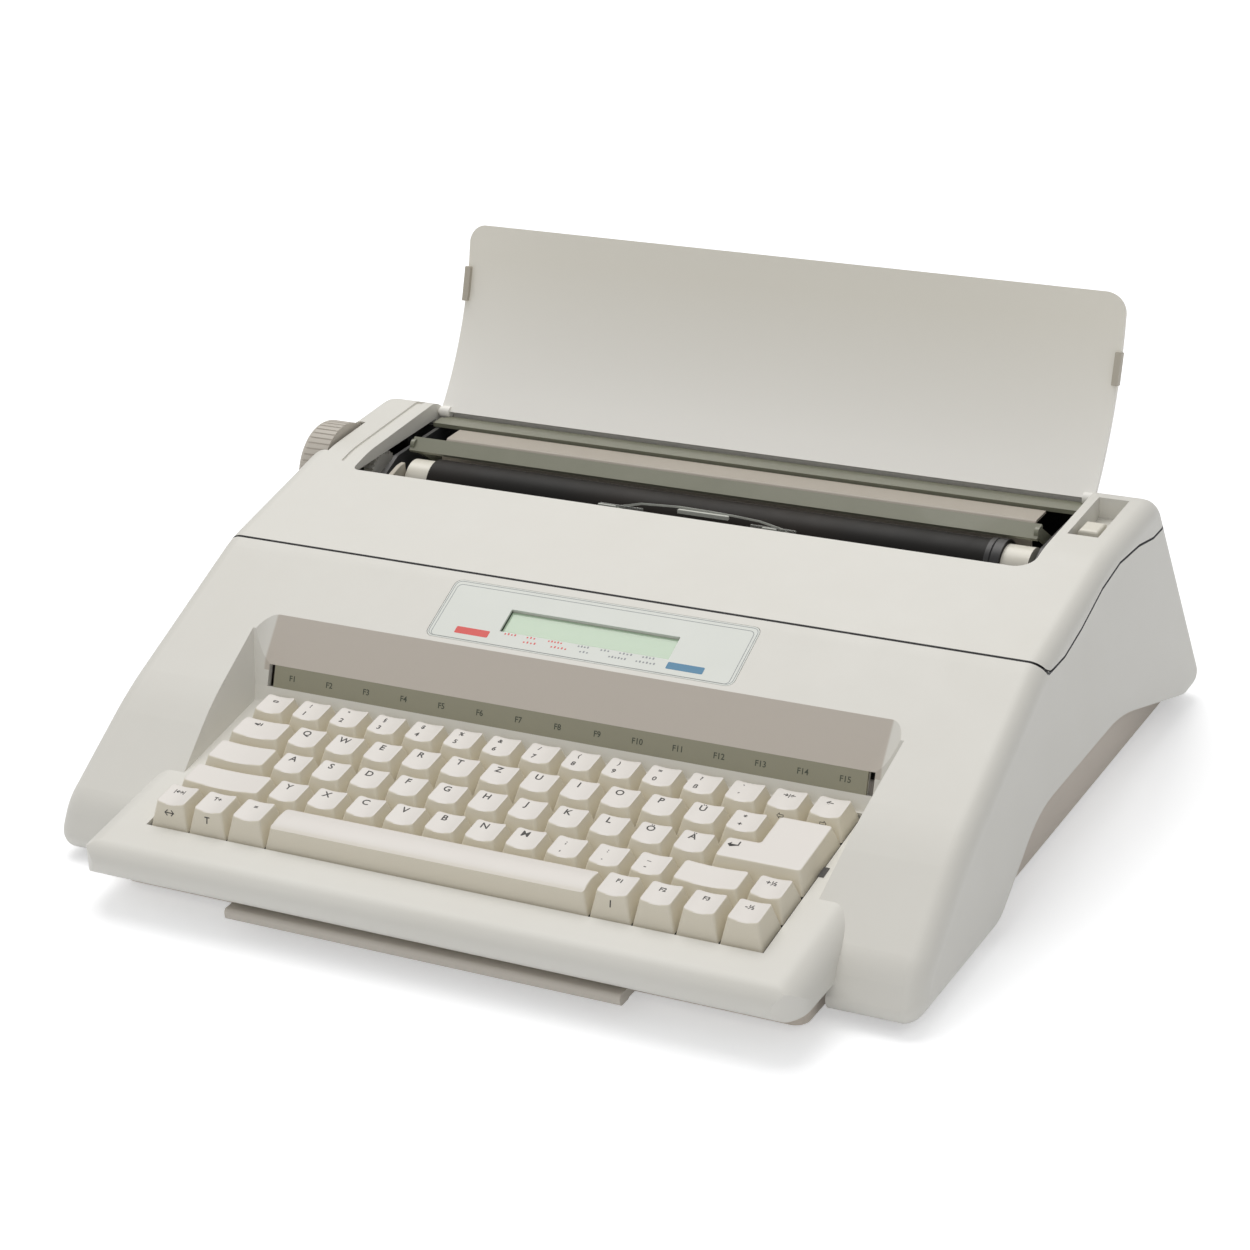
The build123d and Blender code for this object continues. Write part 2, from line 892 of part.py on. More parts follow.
# Paper support
def support_arc_face(near, rear):
    """Curved band of the support, seen from the right."""
    run = (support_top[0] - support_foot[0], support_top[1] - support_foot[1])
    length = math.hypot(*run)
    normal = (run[1] / length, -run[0] / length)
    middle = ((support_foot[0] + support_top[0]) / 2, (support_foot[1] + support_top[1]) / 2)

    def shifted(point, distance):
        return (point[0] + normal[0] * distance, point[1] + normal[1] * distance)

    def arc(distance):
        bulge = shifted(middle, support_sagitta + distance)
        return ThreePointArc(shifted(support_foot, distance), bulge, shifted(support_top, distance))

    front = arc(near)
    back = arc(rear)
    ends = [Line(front @ 0, back @ 0), Line(front @ 1, back @ 1)]
    return make_face([front, back, *ends])


def support_front():
    """The support's outline seen square on, with its top corners rounded."""
    run = (support_top[0] - support_foot[0], support_top[1] - support_foot[1])
    length = math.hypot(*run)
    half = support_half_width
    shape = outline(
        [
            (-half, -10.0, 0.0),
            (half, -10.0, 0.0),
            (half, length - support_trim, support_corner_radius),
            (-half, length - support_trim, support_corner_radius),
        ]
    )
    plane = Plane(origin=(0, *support_foot), x_dir=(1, 0, 0), z_dir=(0, -run[1] / length, run[0] / length))
    return extrude(plane * shape, amount=30.0, both=True)


def paper_support():
    """Curved paper support, which is also the dust cover, with its hinge ears."""
    blank = support_half_width + support_ear_width
    panel = prism_x(support_arc_face(0.0, support_thickness), -blank, blank)
    panel &= support_front()
    for side in (-1, 1):
        inner = side * (support_half_width - support_ear_width)
        outer = side * support_half_width
        panel += bar_x(support_hinge, support_ear_radius, min(inner, outer), max(inner, outer))
        end = side * (support_half_width + support_pin_length)
        panel += bar_x(support_hinge, support_pin_radius, min(inner, end), max(inner, end))
    return panel


def hinge_strip():
    """Ribbed strip in front of the support's hinge."""
    half = support_half_width - 2.0
    return block((-half, half), hinge_strip_y, (hinge_strip_z - 2.0, hinge_strip_z))


# Keys
def row_bottom(row):
    """Distance up the slope of a key row's front edge."""
    return row * key_pitch


def key_cap(column, row, width):
    """One keycap with its stem. Column and width are in key pitches."""
    left = (column - keyboard_columns / 2) * key_pitch + key_gap / 2
    right = left + width * key_pitch - key_gap
    front = row_bottom(row) + key_gap / 2
    back = front + key_pitch - key_gap
    height = front_row_key_height if row == 0 else key_height
    front_taper = front_row_front_taper if row == 0 else key_front_taper
    return tapered_cap(
        [(left, front), (right, front), (right, back), (left, back)],
        height,
        (key_side_taper, front_taper, key_back_taper),
        cap_stems(left, right, front, back),
    )


def cap_stems(left, right, front, back):
    """Stem places of one cap: two under a long one."""
    middle = (front + back) / 2
    centre = (left + right) / 2
    if right - left < long_key_pitches * key_pitch:
        return [(centre, middle)]
    quarter = (right - left) / 4
    return [(centre - quarter, middle), (centre + quarter, middle)]


def cap_faces(corners, height, tapers, inset):
    """Foot and top outlines of a rectangular cap."""
    (left, front), (right, _), (_, back), _ = corners
    side, near, far = tapers
    foot = [
        (left + inset, front + inset),
        (right - inset, front + inset),
        (right - inset, back - inset),
        (left + inset, back - inset),
    ]
    top = [
        (left + side + inset, front + near + inset),
        (right - side - inset, front + near + inset),
        (right - side - inset, back - far - inset),
        (left + side + inset, back - far - inset),
    ]
    return foot, top


def tapered_cap(corners, height, tapers, stems):
    """Hollow tapered cap over one or more stems, in the keyboard's frame."""
    foot, top = cap_faces(corners, height, tapers, 0.0)
    outer = loft_between(foot, -key_skirt_depth, top, height)
    foot_in, top_in = cap_faces(corners, height, tapers, key_wall)
    inner = loft_between(foot_in, -key_skirt_depth - 0.1, top_in, height - key_wall)
    cap = outer - inner
    for x, v in stems:
        cap += Pos(x, v, deck_top_n - deck_thickness - 1.5) * extrude(
            Circle(key_stem_radius), amount=height - key_wall / 2 - (deck_top_n - deck_thickness - 1.5)
        )
    return keyboard_plane.location * cap


def loft_between(foot, foot_n, top, top_n):
    """Ruled solid between two outlines with the same number of corners."""
    low = Pos(0, 0, foot_n) * Polygon(*foot, align=None)
    high = Pos(0, 0, top_n) * Polygon(*top, align=None)
    return loft([low, high], ruled=True)


def return_key():
    """The reversed-L return key over two rows."""
    wide = key_cap(12.75, 2, 2.25)
    tall = tall_part_of_return()
    return wide + tall


def tall_part_of_return():
    """Upper arm of the return key, running over both of its rows."""
    left = (13.5 - keyboard_columns / 2) * key_pitch + key_gap / 2
    right = (keyboard_columns / 2) * key_pitch - key_gap / 2
    front = row_bottom(2) + key_gap / 2
    back = row_bottom(4) - key_gap / 2
    corners = [(left, front), (right, front), (right, back), (left, back)]
    return tapered_cap(corners, key_height, (key_side_taper, key_front_taper, key_back_taper), [])


def key_places():
    """Node name to the (column, row, width) of its keys."""
    return {
        "code_key": [(0, 4, 1)],
        "number_keys": [(1 + i, 4, 1) for i in range(12)],
        "relocate_key": [(13, 4, 1)],
        "backspace_key": [(14, 4, 1)],
        "tab_key": [(0, 3, 1.5)],
        "upper_letter_keys": [(1.5 + i, 3, 1) for i in range(12)],
        "caps_lock_key": [(0, 2, 1.75)],
        "home_letter_keys": [(1.75 + i, 2, 1) for i in range(11)],
        "left_shift_key": [(0, 1, 2.25)],
        "lower_letter_keys": [(2.25 + i, 1, 1) for i in range(10)],
        "right_shift_key": [(12.25, 1, 1.75)],
        "line_up_key": [(14, 1, 1)],
        "left_function_keys": [(i, 0, 1) for i in range(3)],
        "space_bar": [(3, 0, 8)],
        "right_function_keys": [(11 + i, 0, 1) for i in range(3)],
        "line_down_key": [(14, 0, 1)],
    }


def stem_places():
    """Every stem's place in the keyboard's frame."""
    places = []
    for keys in key_places().values():
        for column, row, width in keys:
            left = (column - keyboard_columns / 2) * key_pitch + key_gap / 2
            right = left + width * key_pitch - key_gap
            front = row_bottom(row) + key_gap / 2
            back = front + key_pitch - key_gap
            places += cap_stems(left, right, front, back)
    left = (12.75 - keyboard_columns / 2) * key_pitch + key_gap / 2
    right = left + 2.25 * key_pitch - key_gap
    places.append(((left + right) / 2, row_bottom(2) + key_pitch / 2))
    return places


# Keyboard floor
def keyboard_extent(margin):
    """X and V span of the keyboard floor."""
    half = keyboard_columns * key_pitch / 2 + margin
    return (-half, half), (-margin + 1.0, keyboard_rows * key_pitch + margin - 2.0)


def key_deck():
    """Guide plate for the key stems, with a rim up to the tray."""
    x, v = keyboard_extent(4.0)
    rim_top = -max(tray_wall, case_wall) - fixed_clearance
    plate = block(x, v, (deck_top_n - deck_thickness, rim_top))
    inside = block((x[0] + 2.0, x[1] - 2.0), (v[0] + 2.0, v[1] - 2.0), (deck_top_n, 10.0))
    plate -= inside
    for x_place, v_place in stem_places():
        plate -= Pos(x_place, v_place, deck_top_n - deck_thickness) * Cylinder(
            key_stem_radius + 0.3, 3 * deck_thickness
        )
    return keyboard_plane.location * plate


def dome_sheet():
    """Rubber sheet with one spring ring under every stem."""
    x, v = keyboard_extent(4.0)
    sheet = block(x, v, (dome_sheet_top_n - dome_sheet_thickness, dome_sheet_top_n))
    rings = Sketch()
    for place in stem_places():
        rings += Pos(*place) * (Circle(dome_outer_radius) - Circle(dome_inner_radius))
    sheet += extrude(Pos(0, 0, dome_sheet_top_n) * rings, amount=dome_height)
    return keyboard_plane.location * sheet


def keyboard_board():
    """Circuit board under the rubber sheet, on its standoffs."""
    x, v = keyboard_extent(4.0)
    top = dome_sheet_top_n - dome_sheet_thickness - fixed_clearance
    under = top - key_board_thickness
    return deck_block(x, v, (under, top)) + board_standoffs(under)


def board_standoffs(under):
    """Posts from the base floor up to the board's underside."""
    floor = base_floor_z + base_floor + fixed_clearance
    posts = Part()
    for x in (-130.0, -40.0, 40.0, 130.0):
        for v in (30.0, 80.0):
            y, _ = deck_point(v, under)
            posts += bar_z(x, y, standoff_radius, floor, far)
    return posts & deck_block((-far, far), (-far, far), (-far, under + key_board_thickness / 2))


# Platen group
def platen_roller():
    """Rubber roller with its right end collar."""
    roller = bar_x(platen_axis, platen_radius, -platen_half_length, platen_half_length + platen_collar_length)
    return roller - bar_x(platen_axis, platen_shaft_radius + fixed_clearance, -platen_half_length - 1, 200)


def platen_hubs():
    """Pale end hubs on the platen shaft."""
    bore = platen_shaft_radius + fixed_clearance
    left = bar_x(platen_axis, hub_radius, left_hub_end_x, -platen_half_length - fixed_clearance)
    collar_end = platen_half_length + platen_collar_length + fixed_clearance
    right = bar_x(platen_axis, hub_radius, collar_end, right_hub_end_x)
    hole = bar_x(platen_axis, bore, left_hub_end_x - 1, right_hub_end_x + 1)
    return group([left - hole, right - hole])


def platen_shaft():
    """Steel shaft through the platen, from the knob to the right frame."""
    return bar_x(platen_axis, platen_shaft_radius, knob_end_x + 3.0, frame_inner_x + frame_thickness + 2.0)


def platen_knob():
    """Grooved hand knob on the left end of the shaft."""
    body = bar_x(platen_axis, knob_radius, knob_end_x, knob_end_x + knob_length)
    rim = body.edges().filter_by(GeomType.CIRCLE).group_by(Axis.X)[0]
    body = fillet(rim, 4.0)
    for i in range(knob_groove_count):
        place = polar(platen_axis, knob_radius, i * 360.0 / knob_groove_count)
        body -= bar_x(place, knob_groove_radius, knob_end_x - 1, knob_end_x + knob_length + 1)
    bore_start = knob_end_x + 3.0 - fixed_clearance
    bore_end = knob_end_x + knob_length + 1
    return body - bar_x(platen_axis, platen_shaft_radius + fixed_clearance, bore_start, bore_end)


def gear(teeth, centre, phase_deg, bore, low, high):
    """Spur gear with straight-sided teeth on the common module."""
    pitch_radius = gear_module * teeth / 2
    tip = pitch_radius + 0.8 * gear_module
    root = pitch_radius - 1.15 * gear_module
    step = 360.0 / teeth
    points = []
    for i in range(teeth):
        middle = phase_deg + i * step
        for radius, shift in ((root, -0.30), (tip, -0.10), (tip, 0.10), (root, 0.30)):
            points.append(polar(centre, radius, middle + shift * step))
    wheel = prism_x(Polygon(*points, align=None), low, high)
    return wheel - bar_x(centre, bore, low - 1, high + 1)


def gear_distance(first, second):
    """Centre distance of two meshed gears."""
    return gear_module * (first + second) / 2


def idler_centre():
    """Place of the idler below the platen gear."""
    return polar(platen_axis, gear_distance(platen_gear_teeth, idler_gear_teeth), idler_direction_deg)


def pinion_centre():
    """Place of the motor pinion beside the idler."""
    return polar(idler_centre(), gear_distance(idler_gear_teeth, motor_pinion_teeth), pinion_direction_deg)


def mesh_phase(own_teeth, other_teeth, other_phase, direction_deg):
    """Phase that puts a gap of this gear opposite a tooth of the other one."""
    turned = (direction_deg - other_phase) * other_teeth / own_teeth
    return direction_deg + 180.0 + turned + 180.0 / own_teeth


def gear_train():
    """Platen gear, idler and pinion, in mesh."""
    span = (gear_left_x, gear_left_x + gear_width)
    platen_phase = idler_direction_deg
    idler_phase = mesh_phase(idler_gear_teeth, platen_gear_teeth, platen_phase, idler_direction_deg)
    pinion_phase = mesh_phase(motor_pinion_teeth, idler_gear_teeth, idler_phase, pinion_direction_deg)
    first = gear(platen_gear_teeth, platen_axis, platen_phase, platen_shaft_radius + fixed_clearance, *span)
    second = gear(idler_gear_teeth, idler_centre(), idler_phase, gear_pin_radius + running_clearance, *span)
    third = gear(motor_pinion_teeth, pinion_centre(), pinion_phase, gear_pin_radius + fixed_clearance, *span)
    return first, second, third


# Side frames and rods
def side_frame(side):
    """Plate that carries the platen, rods and bail on one side."""
    inner = side * frame_inner_x
    outer = side * (frame_inner_x + frame_thickness)
    low, high = min(inner, outer), max(inner, outer)
    plate = prism_x(outline(frame_outline), low, high)
    flange_inner = side * (frame_inner_x + frame_thickness + 10.0)
    flange = block((min(inner, flange_inner), max(inner, flange_inner)), (2.0, 136.0), (5.2, 7.2))
    plate += flange
    plate -= bar_x(platen_axis, platen_shaft_radius + running_clearance, low - 1, high + 1)
    for rod in (front_rod, back_rod):
        plate -= bar_x(rod, rod_radius + fixed_clearance, low - 1, high + 1)
    plate -= bar_x(bail_pivot, bail_pin_radius + running_clearance, low - 1, high + 1)
    plate -= bar_x(feed_roller_centre(), feed_roller_shaft_radius + running_clearance, low - 1, high + 1)
    if side < 0:
        plate += bar_x(idler_centre(), gear_pin_radius, gear_left_x - 1.0, high)
        plate -= bar_x(pinion_centre(), gear_pin_radius + part_gap, low - 1, high + 1)
    else:
        plate += bar_x(lever_pivot, lever_pin_radius, low, lever_x + lever_width / 2 + 1.0)
    return plate


def guide_rods():
    """Two steel rods that the carriage runs on."""
    end = frame_inner_x + frame_thickness
    return group(bar_x(rod, rod_radius, -end, end) for rod in (front_rod, back_rod))


# Carriage
def carriage_x(low, high):
    """X span relative to the carriage's middle."""
    return (carriage_rest_x + low, carriage_rest_x + high)


def carriage_frame():
    """Sliding carriage body with the wheel motor's seat and the belt clamp."""
    half = carriage_half_width
    height = (carriage_bottom_z, carriage_top_z)
    body = block(carriage_x(-half, half), (carriage_front_y, carriage_back_y), height)
    middle_y = (front_rod[0] + 8, back_rod[0] - 8)
    body -= block(carriage_x(-half + 4, half - 4), middle_y, (height[0] - 1, height[1] + 1))
    for side in (-1, 1):
        inner = side * (half - 2.5)
        outer = side * half
        wall = (min(inner, outer), max(inner, outer))
        cassette_y = (cassette_front_y, cassette_back_y)
        body += block(carriage_x(*wall), cassette_y, (carriage_top_z - 1, cassette_bottom_z))
    body += motor_seat()
    for rod in (front_rod, back_rod):
        body -= bar_x(rod, rod_radius + running_clearance, -200, 200)
    body += block(carriage_x(-6, 6), (belt_y - 7, belt_y + 7), (carriage_bottom_z, carriage_bottom_z + 3))
    body += block(carriage_x(-half, half), (belt_y - 7, belt_y - 4), (carriage_bottom_z, carriage_top_z))
    return body


def motor_seat():
    """Upright plate behind which the print wheel turns."""
    width = carriage_x(-20, 20)
    low_z = carriage_bottom_z + 4
    near_y = wheel_y - 12.0
    plate = block(width, (near_y, wheel_y - 9.0), (low_z, wheel_centre_z + wheel_motor_radius))
    plate += block(width, (carriage_back_y - 8.0, wheel_y - 9.0), (low_z, carriage_top_z - 8))
    plate += bar_y(carriage_rest_x, wheel_centre_z, wheel_motor_radius, near_y - wheel_motor_length, near_y)
    plate -= bar_y(carriage_rest_x, wheel_centre_z, wheel_shaft_radius + running_clearance, -50, 100)
    hammer_z = hammer_height()
    guide_y = (wheel_y - 22.0, wheel_y - 10.0)
    plate += block(carriage_x(-6, 6), guide_y, (wheel_centre_z + wheel_motor_radius - 3.0, hammer_z + 6.0))
    plate -= bar_y(carriage_rest_x, hammer_z, hammer_radius + running_clearance, -50, 100)
    return plate


def hammer_height():
    """Height of the hammer and the print line."""
    return wheel_centre_z + wheel_tip_radius - 4.0


def print_wheel():
    """Daisy wheel: a hub with thin petals, and its drive shaft."""
    petals = Sketch()
    for i in range(petal_count):
        petals += Rot(0, 0, i * 360.0 / petal_count) * Pos(wheel_tip_radius / 2, 0) * Rectangle(
            wheel_tip_radius, petal_width
        )
    shape = petals + Circle(wheel_hub_radius)
    plane = Plane(origin=(carriage_rest_x, wheel_y, wheel_centre_z), x_dir=(1, 0, 0), z_dir=(0, 1, 0))
    wheel = extrude(plane * shape, amount=wheel_thickness)
    return wheel + bar_y(carriage_rest_x, wheel_centre_z, wheel_shaft_radius, wheel_y - 30.0, wheel_y + 2.0)


def print_hammer():
    """Solenoid plunger that strikes the petals."""
    end = wheel_y - hammer_travel - 1.0
    return bar_y(carriage_rest_x, hammer_height(), hammer_radius, end - hammer_length, end)


def ribbon_cassette():
    """Flat ribbon cassette over the carriage."""
    half = cassette_half_width
    shape = outline(
        [
            (carriage_rest_x - half, cassette_front_y, 6.0),
            (carriage_rest_x + half, cassette_front_y, 6.0),
            (carriage_rest_x + half, cassette_back_y, 3.0),
            (carriage_rest_x - half, cassette_back_y, 3.0),
        ]
    )
    return prism_z(shape, cassette_bottom_z + fixed_clearance, cassette_top_z)


def card_holder():
    """Clear card guide at the print line, with its arms to the carriage."""
    x = carriage_x(-card_half_width, card_half_width)
    plate = block(x, (card_y, card_y + card_thickness), (card_bottom_z, card_top_z))
    window = carriage_x(-card_window_half_width, card_window_half_width)
    plate -= block(window, (card_y - 1, card_y + 3), (card_top_z - card_window_depth, card_top_z + 1))
    for side in (-1, 1):
        inner = side * (wheel_tip_radius + 3.0)
        outer = side * (wheel_tip_radius + 3.0 + card_arm_width)
        near = side * (carriage_half_width + fixed_clearance)
        arm_x = (min(inner, outer), max(inner, outer))
        foot_x = (min(near, outer), max(near, outer))
        foot_z = (carriage_top_z - 4.0, carriage_top_z - 1.0)
        arm_y = (card_y - 1.0, card_y + card_thickness)
        plate += block(carriage_x(*arm_x), arm_y, (foot_z[0], card_bottom_z + 1.0))
        plate += block(carriage_x(*foot_x), (carriage_back_y - 10.0, card_y + card_thickness), foot_z)
    return plate


# Belt drive
def belt_pulley(x):
    """Pulley on an upright axis at one end of the belt."""
    wheel = bar_z(x, belt_y, belt_pulley_radius, belt_z - belt_width / 2, belt_z + belt_width / 2)
    return wheel - bar_z(x, belt_y, pulley_shaft_radius + running_clearance, 0, 60)


def drive_belt():
    """Toothed belt as a flat loop round both pulleys."""
    inner = belt_pulley_radius + fixed_clearance
    outer = inner + belt_thickness
    loop = SlotCenterToCenter(2 * belt_end_x, 2 * outer) - SlotCenterToCenter(2 * belt_end_x, 2 * inner)
    return Pos(0, belt_y, belt_z - belt_width / 2) * extrude(loop, amount=belt_width)


def carriage_motor():
    """Motor under the floor of the left pulley, on the base."""
    top = belt_z - belt_width / 2 - 1.0
    seat = bar_z(-belt_end_x, belt_y, 13.0, base_floor_z + base_floor + fixed_clearance, top)
    return seat + bar_z(-belt_end_x, belt_y, pulley_shaft_radius, top, belt_z + belt_width / 2)


# Paper path
def feed_roller_centre():
    """Place of the feed roller shaft against the platen."""
    return polar(platen_axis, platen_radius + feed_roller_radius + 0.3, feed_roller_direction_deg)


def feed_rollers():
    """Three rubber rollers on one shaft."""
    centre = feed_roller_centre()
    end = frame_inner_x + frame_thickness
    rollers = bar_x(centre, feed_roller_shaft_radius, -end, end)
    for x in feed_roller_x:
        rollers += bar_x(centre, feed_roller_radius, x - feed_roller_length / 2, x + feed_roller_length / 2)
    return rollers


def paper_table():
    """Sheet metal paper table behind the platen, with a folded top."""
    top = pan_lip
    thick = pan_thickness
    face_y = platen_axis[0] + platen_radius + pan_clear_of_platen
    low_z = platen_axis[1] - pan_drop
    bend = 6.0
    face = outline(
        [
            (face_y + thick, low_z + thick, 3.0),
            (face_y + thick, top[1] - thick - bend, 0.0),
            (face_y + thick + bend, top[1] - thick, 0.0),
            (top[0], top[1] - thick, 0.0),
            (top[0], top[1], 0.0),
            (face_y + bend, top[1], 2.0),
            (face_y, top[1] - bend, 0.0),
            (face_y, low_z, 3.0 + thick),
            (face_y + 10.0, low_z, 0.0),
            (face_y + 10.0, low_z + thick, 0.0),
        ]
    )
    return prism_x(face, -pan_half_width, pan_half_width)


def paper_bail():
    """Bail bar that holds the paper on the platen, with an arm at each end."""
    half = bail_half_width
    tilt = math.degrees(math.atan2(bail_pivot[1] - bail_bar[1], bail_pivot[0] - bail_bar[0]))
    plane = Plane(origin=(-half, bail_bar[0], bail_bar[1]), x_dir=(0, 1, 0), z_dir=(1, 0, 0))
    bar_shape = Rot(0, 0, bail_bar_slope_deg) * Rectangle(bail_bar_width, bail_bar_thickness)
    bail = extrude(plane * bar_shape, amount=2 * half)
    length = math.hypot(bail_pivot[0] - bail_bar[0], bail_pivot[1] - bail_bar[1])
    for side in (-1, 1):
        inner = side * (half - bail_arm_thickness)
        outer = side * half
        low, high = min(inner, outer), max(inner, outer)
        arm_plane = Plane(origin=(low, bail_bar[0], bail_bar[1]), x_dir=(0, 1, 0), z_dir=(1, 0, 0))
        arm_shape = Rot(0, 0, tilt) * Pos(length / 2, 0) * SlotCenterToCenter(length, bail_arm_width)
        bail += extrude(arm_plane * arm_shape, amount=high - low)
        end = side * (frame_inner_x + frame_thickness)
        bail += bar_x(bail_pivot, bail_pin_radius, min(inner, end), max(inner, end))
    return bail


def release_lever():
    """Paper release lever, whose tab stands in the hood's right pocket."""
    span = (lever_x - lever_width / 2, lever_x + lever_width / 2)
    half = lever_stem_width / 2
    stem = block(span, (lever_pivot[0] - half, lever_pivot[0] + half), (lever_pivot[1], lever_tab_z[0] + 1.0))
    tab_x = (lever_x - lever_tab_width / 2, lever_x + lever_tab_width / 2)
    tab_y = (lever_pivot[0] - lever_tab_depth / 2, lever_pivot[0] + lever_tab_depth / 2)
    tab = block(tab_x, tab_y, lever_tab_z)
    tab = fillet(tab.edges().group_by(Axis.Z)[-1], lever_tab_radius)
    lever = tab + stem + bar_x(lever_pivot, half + 2.0, *span)
    return lever - bar_x(lever_pivot, lever_pin_radius + running_clearance, span[0] - 1, span[1] + 1)


# Base
def base_plan(inset):
    """Base outline seen from above."""
    half = base_half_width - inset
    front_half = base_front_half_width - inset
    return outline(
        [
            (-half, base_shoulder_y + inset, 5.0),
            (-front_half, base_shoulder_y + inset, 0.0),
            (-front_half, base_front_y + inset, 6.0),
            (front_half, base_front_y + inset, 6.0),
            (front_half, base_shoulder_y + inset, 0.0),
            (half, base_shoulder_y + inset, 5.0),
            (half, base_back_y - inset, 8.0),
            (-half, base_back_y - inset, 8.0),
        ]
    )


def base_tray():
    """Bottom pan with its rim, the handle's guides and the board's posts."""
    pan = prism_z(base_plan(0.0), base_floor_z, base_rim_z)
    pan -= prism_z(base_plan(base_wall), base_floor_z + base_floor, base_rim_z + 1)
    for x, y in boss_places:
        for side in (-1, 1):
            pan -= bar_z(side * x, y, screw_radius + fixed_clearance, 0.0, 10.0)
            pan -= bar_z(side * x, y, screw_head_radius + part_gap, 0.0, base_floor_z + 1.0)
    for x, y in foot_places():
        pan -= bar_z(x, y, foot_radius + fixed_clearance, 0.0, base_floor_z + foot_recess)
    for side in (-1, 1):
        x = handle_arm_span(side)
        low, high = x[0] - part_gap, x[1] + part_gap
        mouth = (base_front_y - 1, base_front_y + base_wall + 1)
        pan -= block((low, high), mouth, (handle_z[0] - part_gap, base_rim_z + 1))
        guide_y = (base_front_y + 2, handle_arm_back_y)
        guide_z = (base_floor_z + 1, base_rim_z - 2)
        pan += block((low - base_wall, low), guide_y, guide_z)
        pan += block((high, high + base_wall), guide_y, guide_z)
    pan += board_posts()
    return pan


def side_panels():
    """Upright panels on the base rim, seen in the arches."""
    panels = []
    for side in (-1, 1):
        x = sorted((side * (base_half_width - base_wall), side * base_half_width))
        panels.append(block(x, base_side_y, (base_rim_z + fixed_clearance, base_side_z)))
    return group(panels)


def board_posts():
    """Standoffs under the main board."""
    posts = Part()
    for x in (main_board_x[0] + 6.0, main_board_x[1] - 6.0):
        for y in (main_board_y[0] + 6.0, main_board_y[1] - 6.0):
            posts += bar_z(x, y, standoff_radius, base_floor_z + 1.0, main_board_z - fixed_clearance)
    return posts


def foot_places():
    """Centres of the four feet."""
    x = base_half_width - foot_inset_x
    return [
        (side * x, y)
        for side in (-1, 1)
        for y in (base_shoulder_y + foot_inset_y, base_back_y - rear_foot_inset_y)
    ]


def rubber_feet():
    """Four round feet pressed into the base."""
    return group(
        bar_z(x, y, foot_radius, 0.0, base_floor_z + foot_recess - fixed_clearance) for x, y in foot_places()
    )


def case_screws():
    """Screws from the base up into the case bosses."""
    screws = []
    head_top = base_floor_z + 1.0 - fixed_clearance
    shafts = boss_bores(screw_radius, head_top - 0.5, base_floor_z + base_floor + screw_length - 1.0)
    heads = boss_bores(screw_head_radius, head_top - screw_head_height + 1.0, head_top)
    for shaft, head in zip(shafts, heads):
        screws.append(shaft + head)
    return group(screws)


def handle_arm_span(side):
    """X span of one handle arm."""
    outer = side * handle_half_width
    inner = side * (handle_half_width - handle_arm_width)
    return (min(inner, outer), max(inner, outer))


def carry_handle():
    """Pull-out carry handle: a front bar on two flat arms."""
    bar_y_span = (handle_front_y, handle_front_y + handle_bar)
    bar = block((-handle_half_width, handle_half_width), bar_y_span, handle_z)
    bar = fillet(bar.edges().filter_by(Axis.X), 1.8)
    arm_y = (handle_front_y + handle_bar - 1, handle_arm_back_y)
    arm_z = (handle_z[0] + 0.6, handle_z[1] - 0.6)
    for side in (-1, 1):
        bar += block(handle_arm_span(side), arm_y, arm_z)
    return bar


# Electrics
def main_circuit_board():
    """Main board with its larger chips."""
    board = block(main_board_x, main_board_y, (main_board_z, main_board_z + board_thickness))
    top = main_board_z + board_thickness
    for x, y, width, depth in chip_sizes:
        chip_y = (y - depth / 2, y + depth / 2)
        board += block((x - width / 2, x + width / 2), chip_y, (top, top + chip_height))
    return board


def transformer():
    """Mains transformer: core plates with a wound bobbin."""
    floor = base_floor_z + base_floor + fixed_clearance
    core = block(transformer_x, transformer_y, (floor, transformer_z))
    middle = (transformer_x[0] + transformer_x[1]) / 2
    width = (transformer_x[1] - transformer_x[0]) * 0.28
    bobbin_y = (transformer_y[0] - 8, transformer_y[1] + 8)
    bobbin = block((middle - width, middle + width), bobbin_y, (floor + 8, transformer_z - 8))
    return core + bobbin


def rear_wall_point(z, depth):
    """(y, z) of a point at a depth behind the rear wall's outer face."""
    run = (rear_foot[0] - hood_back[0], rear_foot[1] - hood_back[1])
    length = math.hypot(*run)
    y = rear_foot[0] + run[0] * (z - rear_foot[1]) / run[1]
    return (y + run[1] / length * depth, z - run[0] / length * depth)


def switch_centre():
    """Axis of the rocker switch."""
    return rear_wall_point((inlet_z[0] + inlet_z[1]) / 2, switch_depth)


def power_inlet():
    """Two-pin mains inlet with the frame of the rocker switch, in the rear wall."""
    gap = fixed_clearance
    span = (inlet_x[0] + gap, module_right_x - gap)
    body = rear_block(span, (inlet_z[0] + gap, inlet_z[1] - gap), inlet_depth)
    centre_x = (inlet_x[0] + inlet_x[1]) / 2
    centre_z = (inlet_z[0] + inlet_z[1]) / 2
    socket = RectangleRounded(inlet_pin_spacing + 8.0, 8.0, 3.5)
    plane = Plane(origin=(centre_x, rear_foot[0] + 5.0, centre_z), x_dir=(1, 0, 0), z_dir=(0, -1, 0))
    body -= extrude(plane * socket, amount=30.0, dir=(0, -1, 0))
    for side in (-1, 1):
        x = centre_x + side * inlet_pin_spacing / 2
        body += bar_y(x, centre_z, inlet_pin_radius, rear_foot[0] - 32.0, rear_foot[0] - 16.0)
    body -= bar_x(switch_centre(), switch_radius + part_gap, switch_x[0] - part_gap, switch_x[1] + part_gap)
    reach = switch_pin_length + part_gap
    pin_room = switch_pin_radius + running_clearance
    body -= bar_x(switch_centre(), pin_room, switch_x[0] - reach, switch_x[1] + reach)
    return body


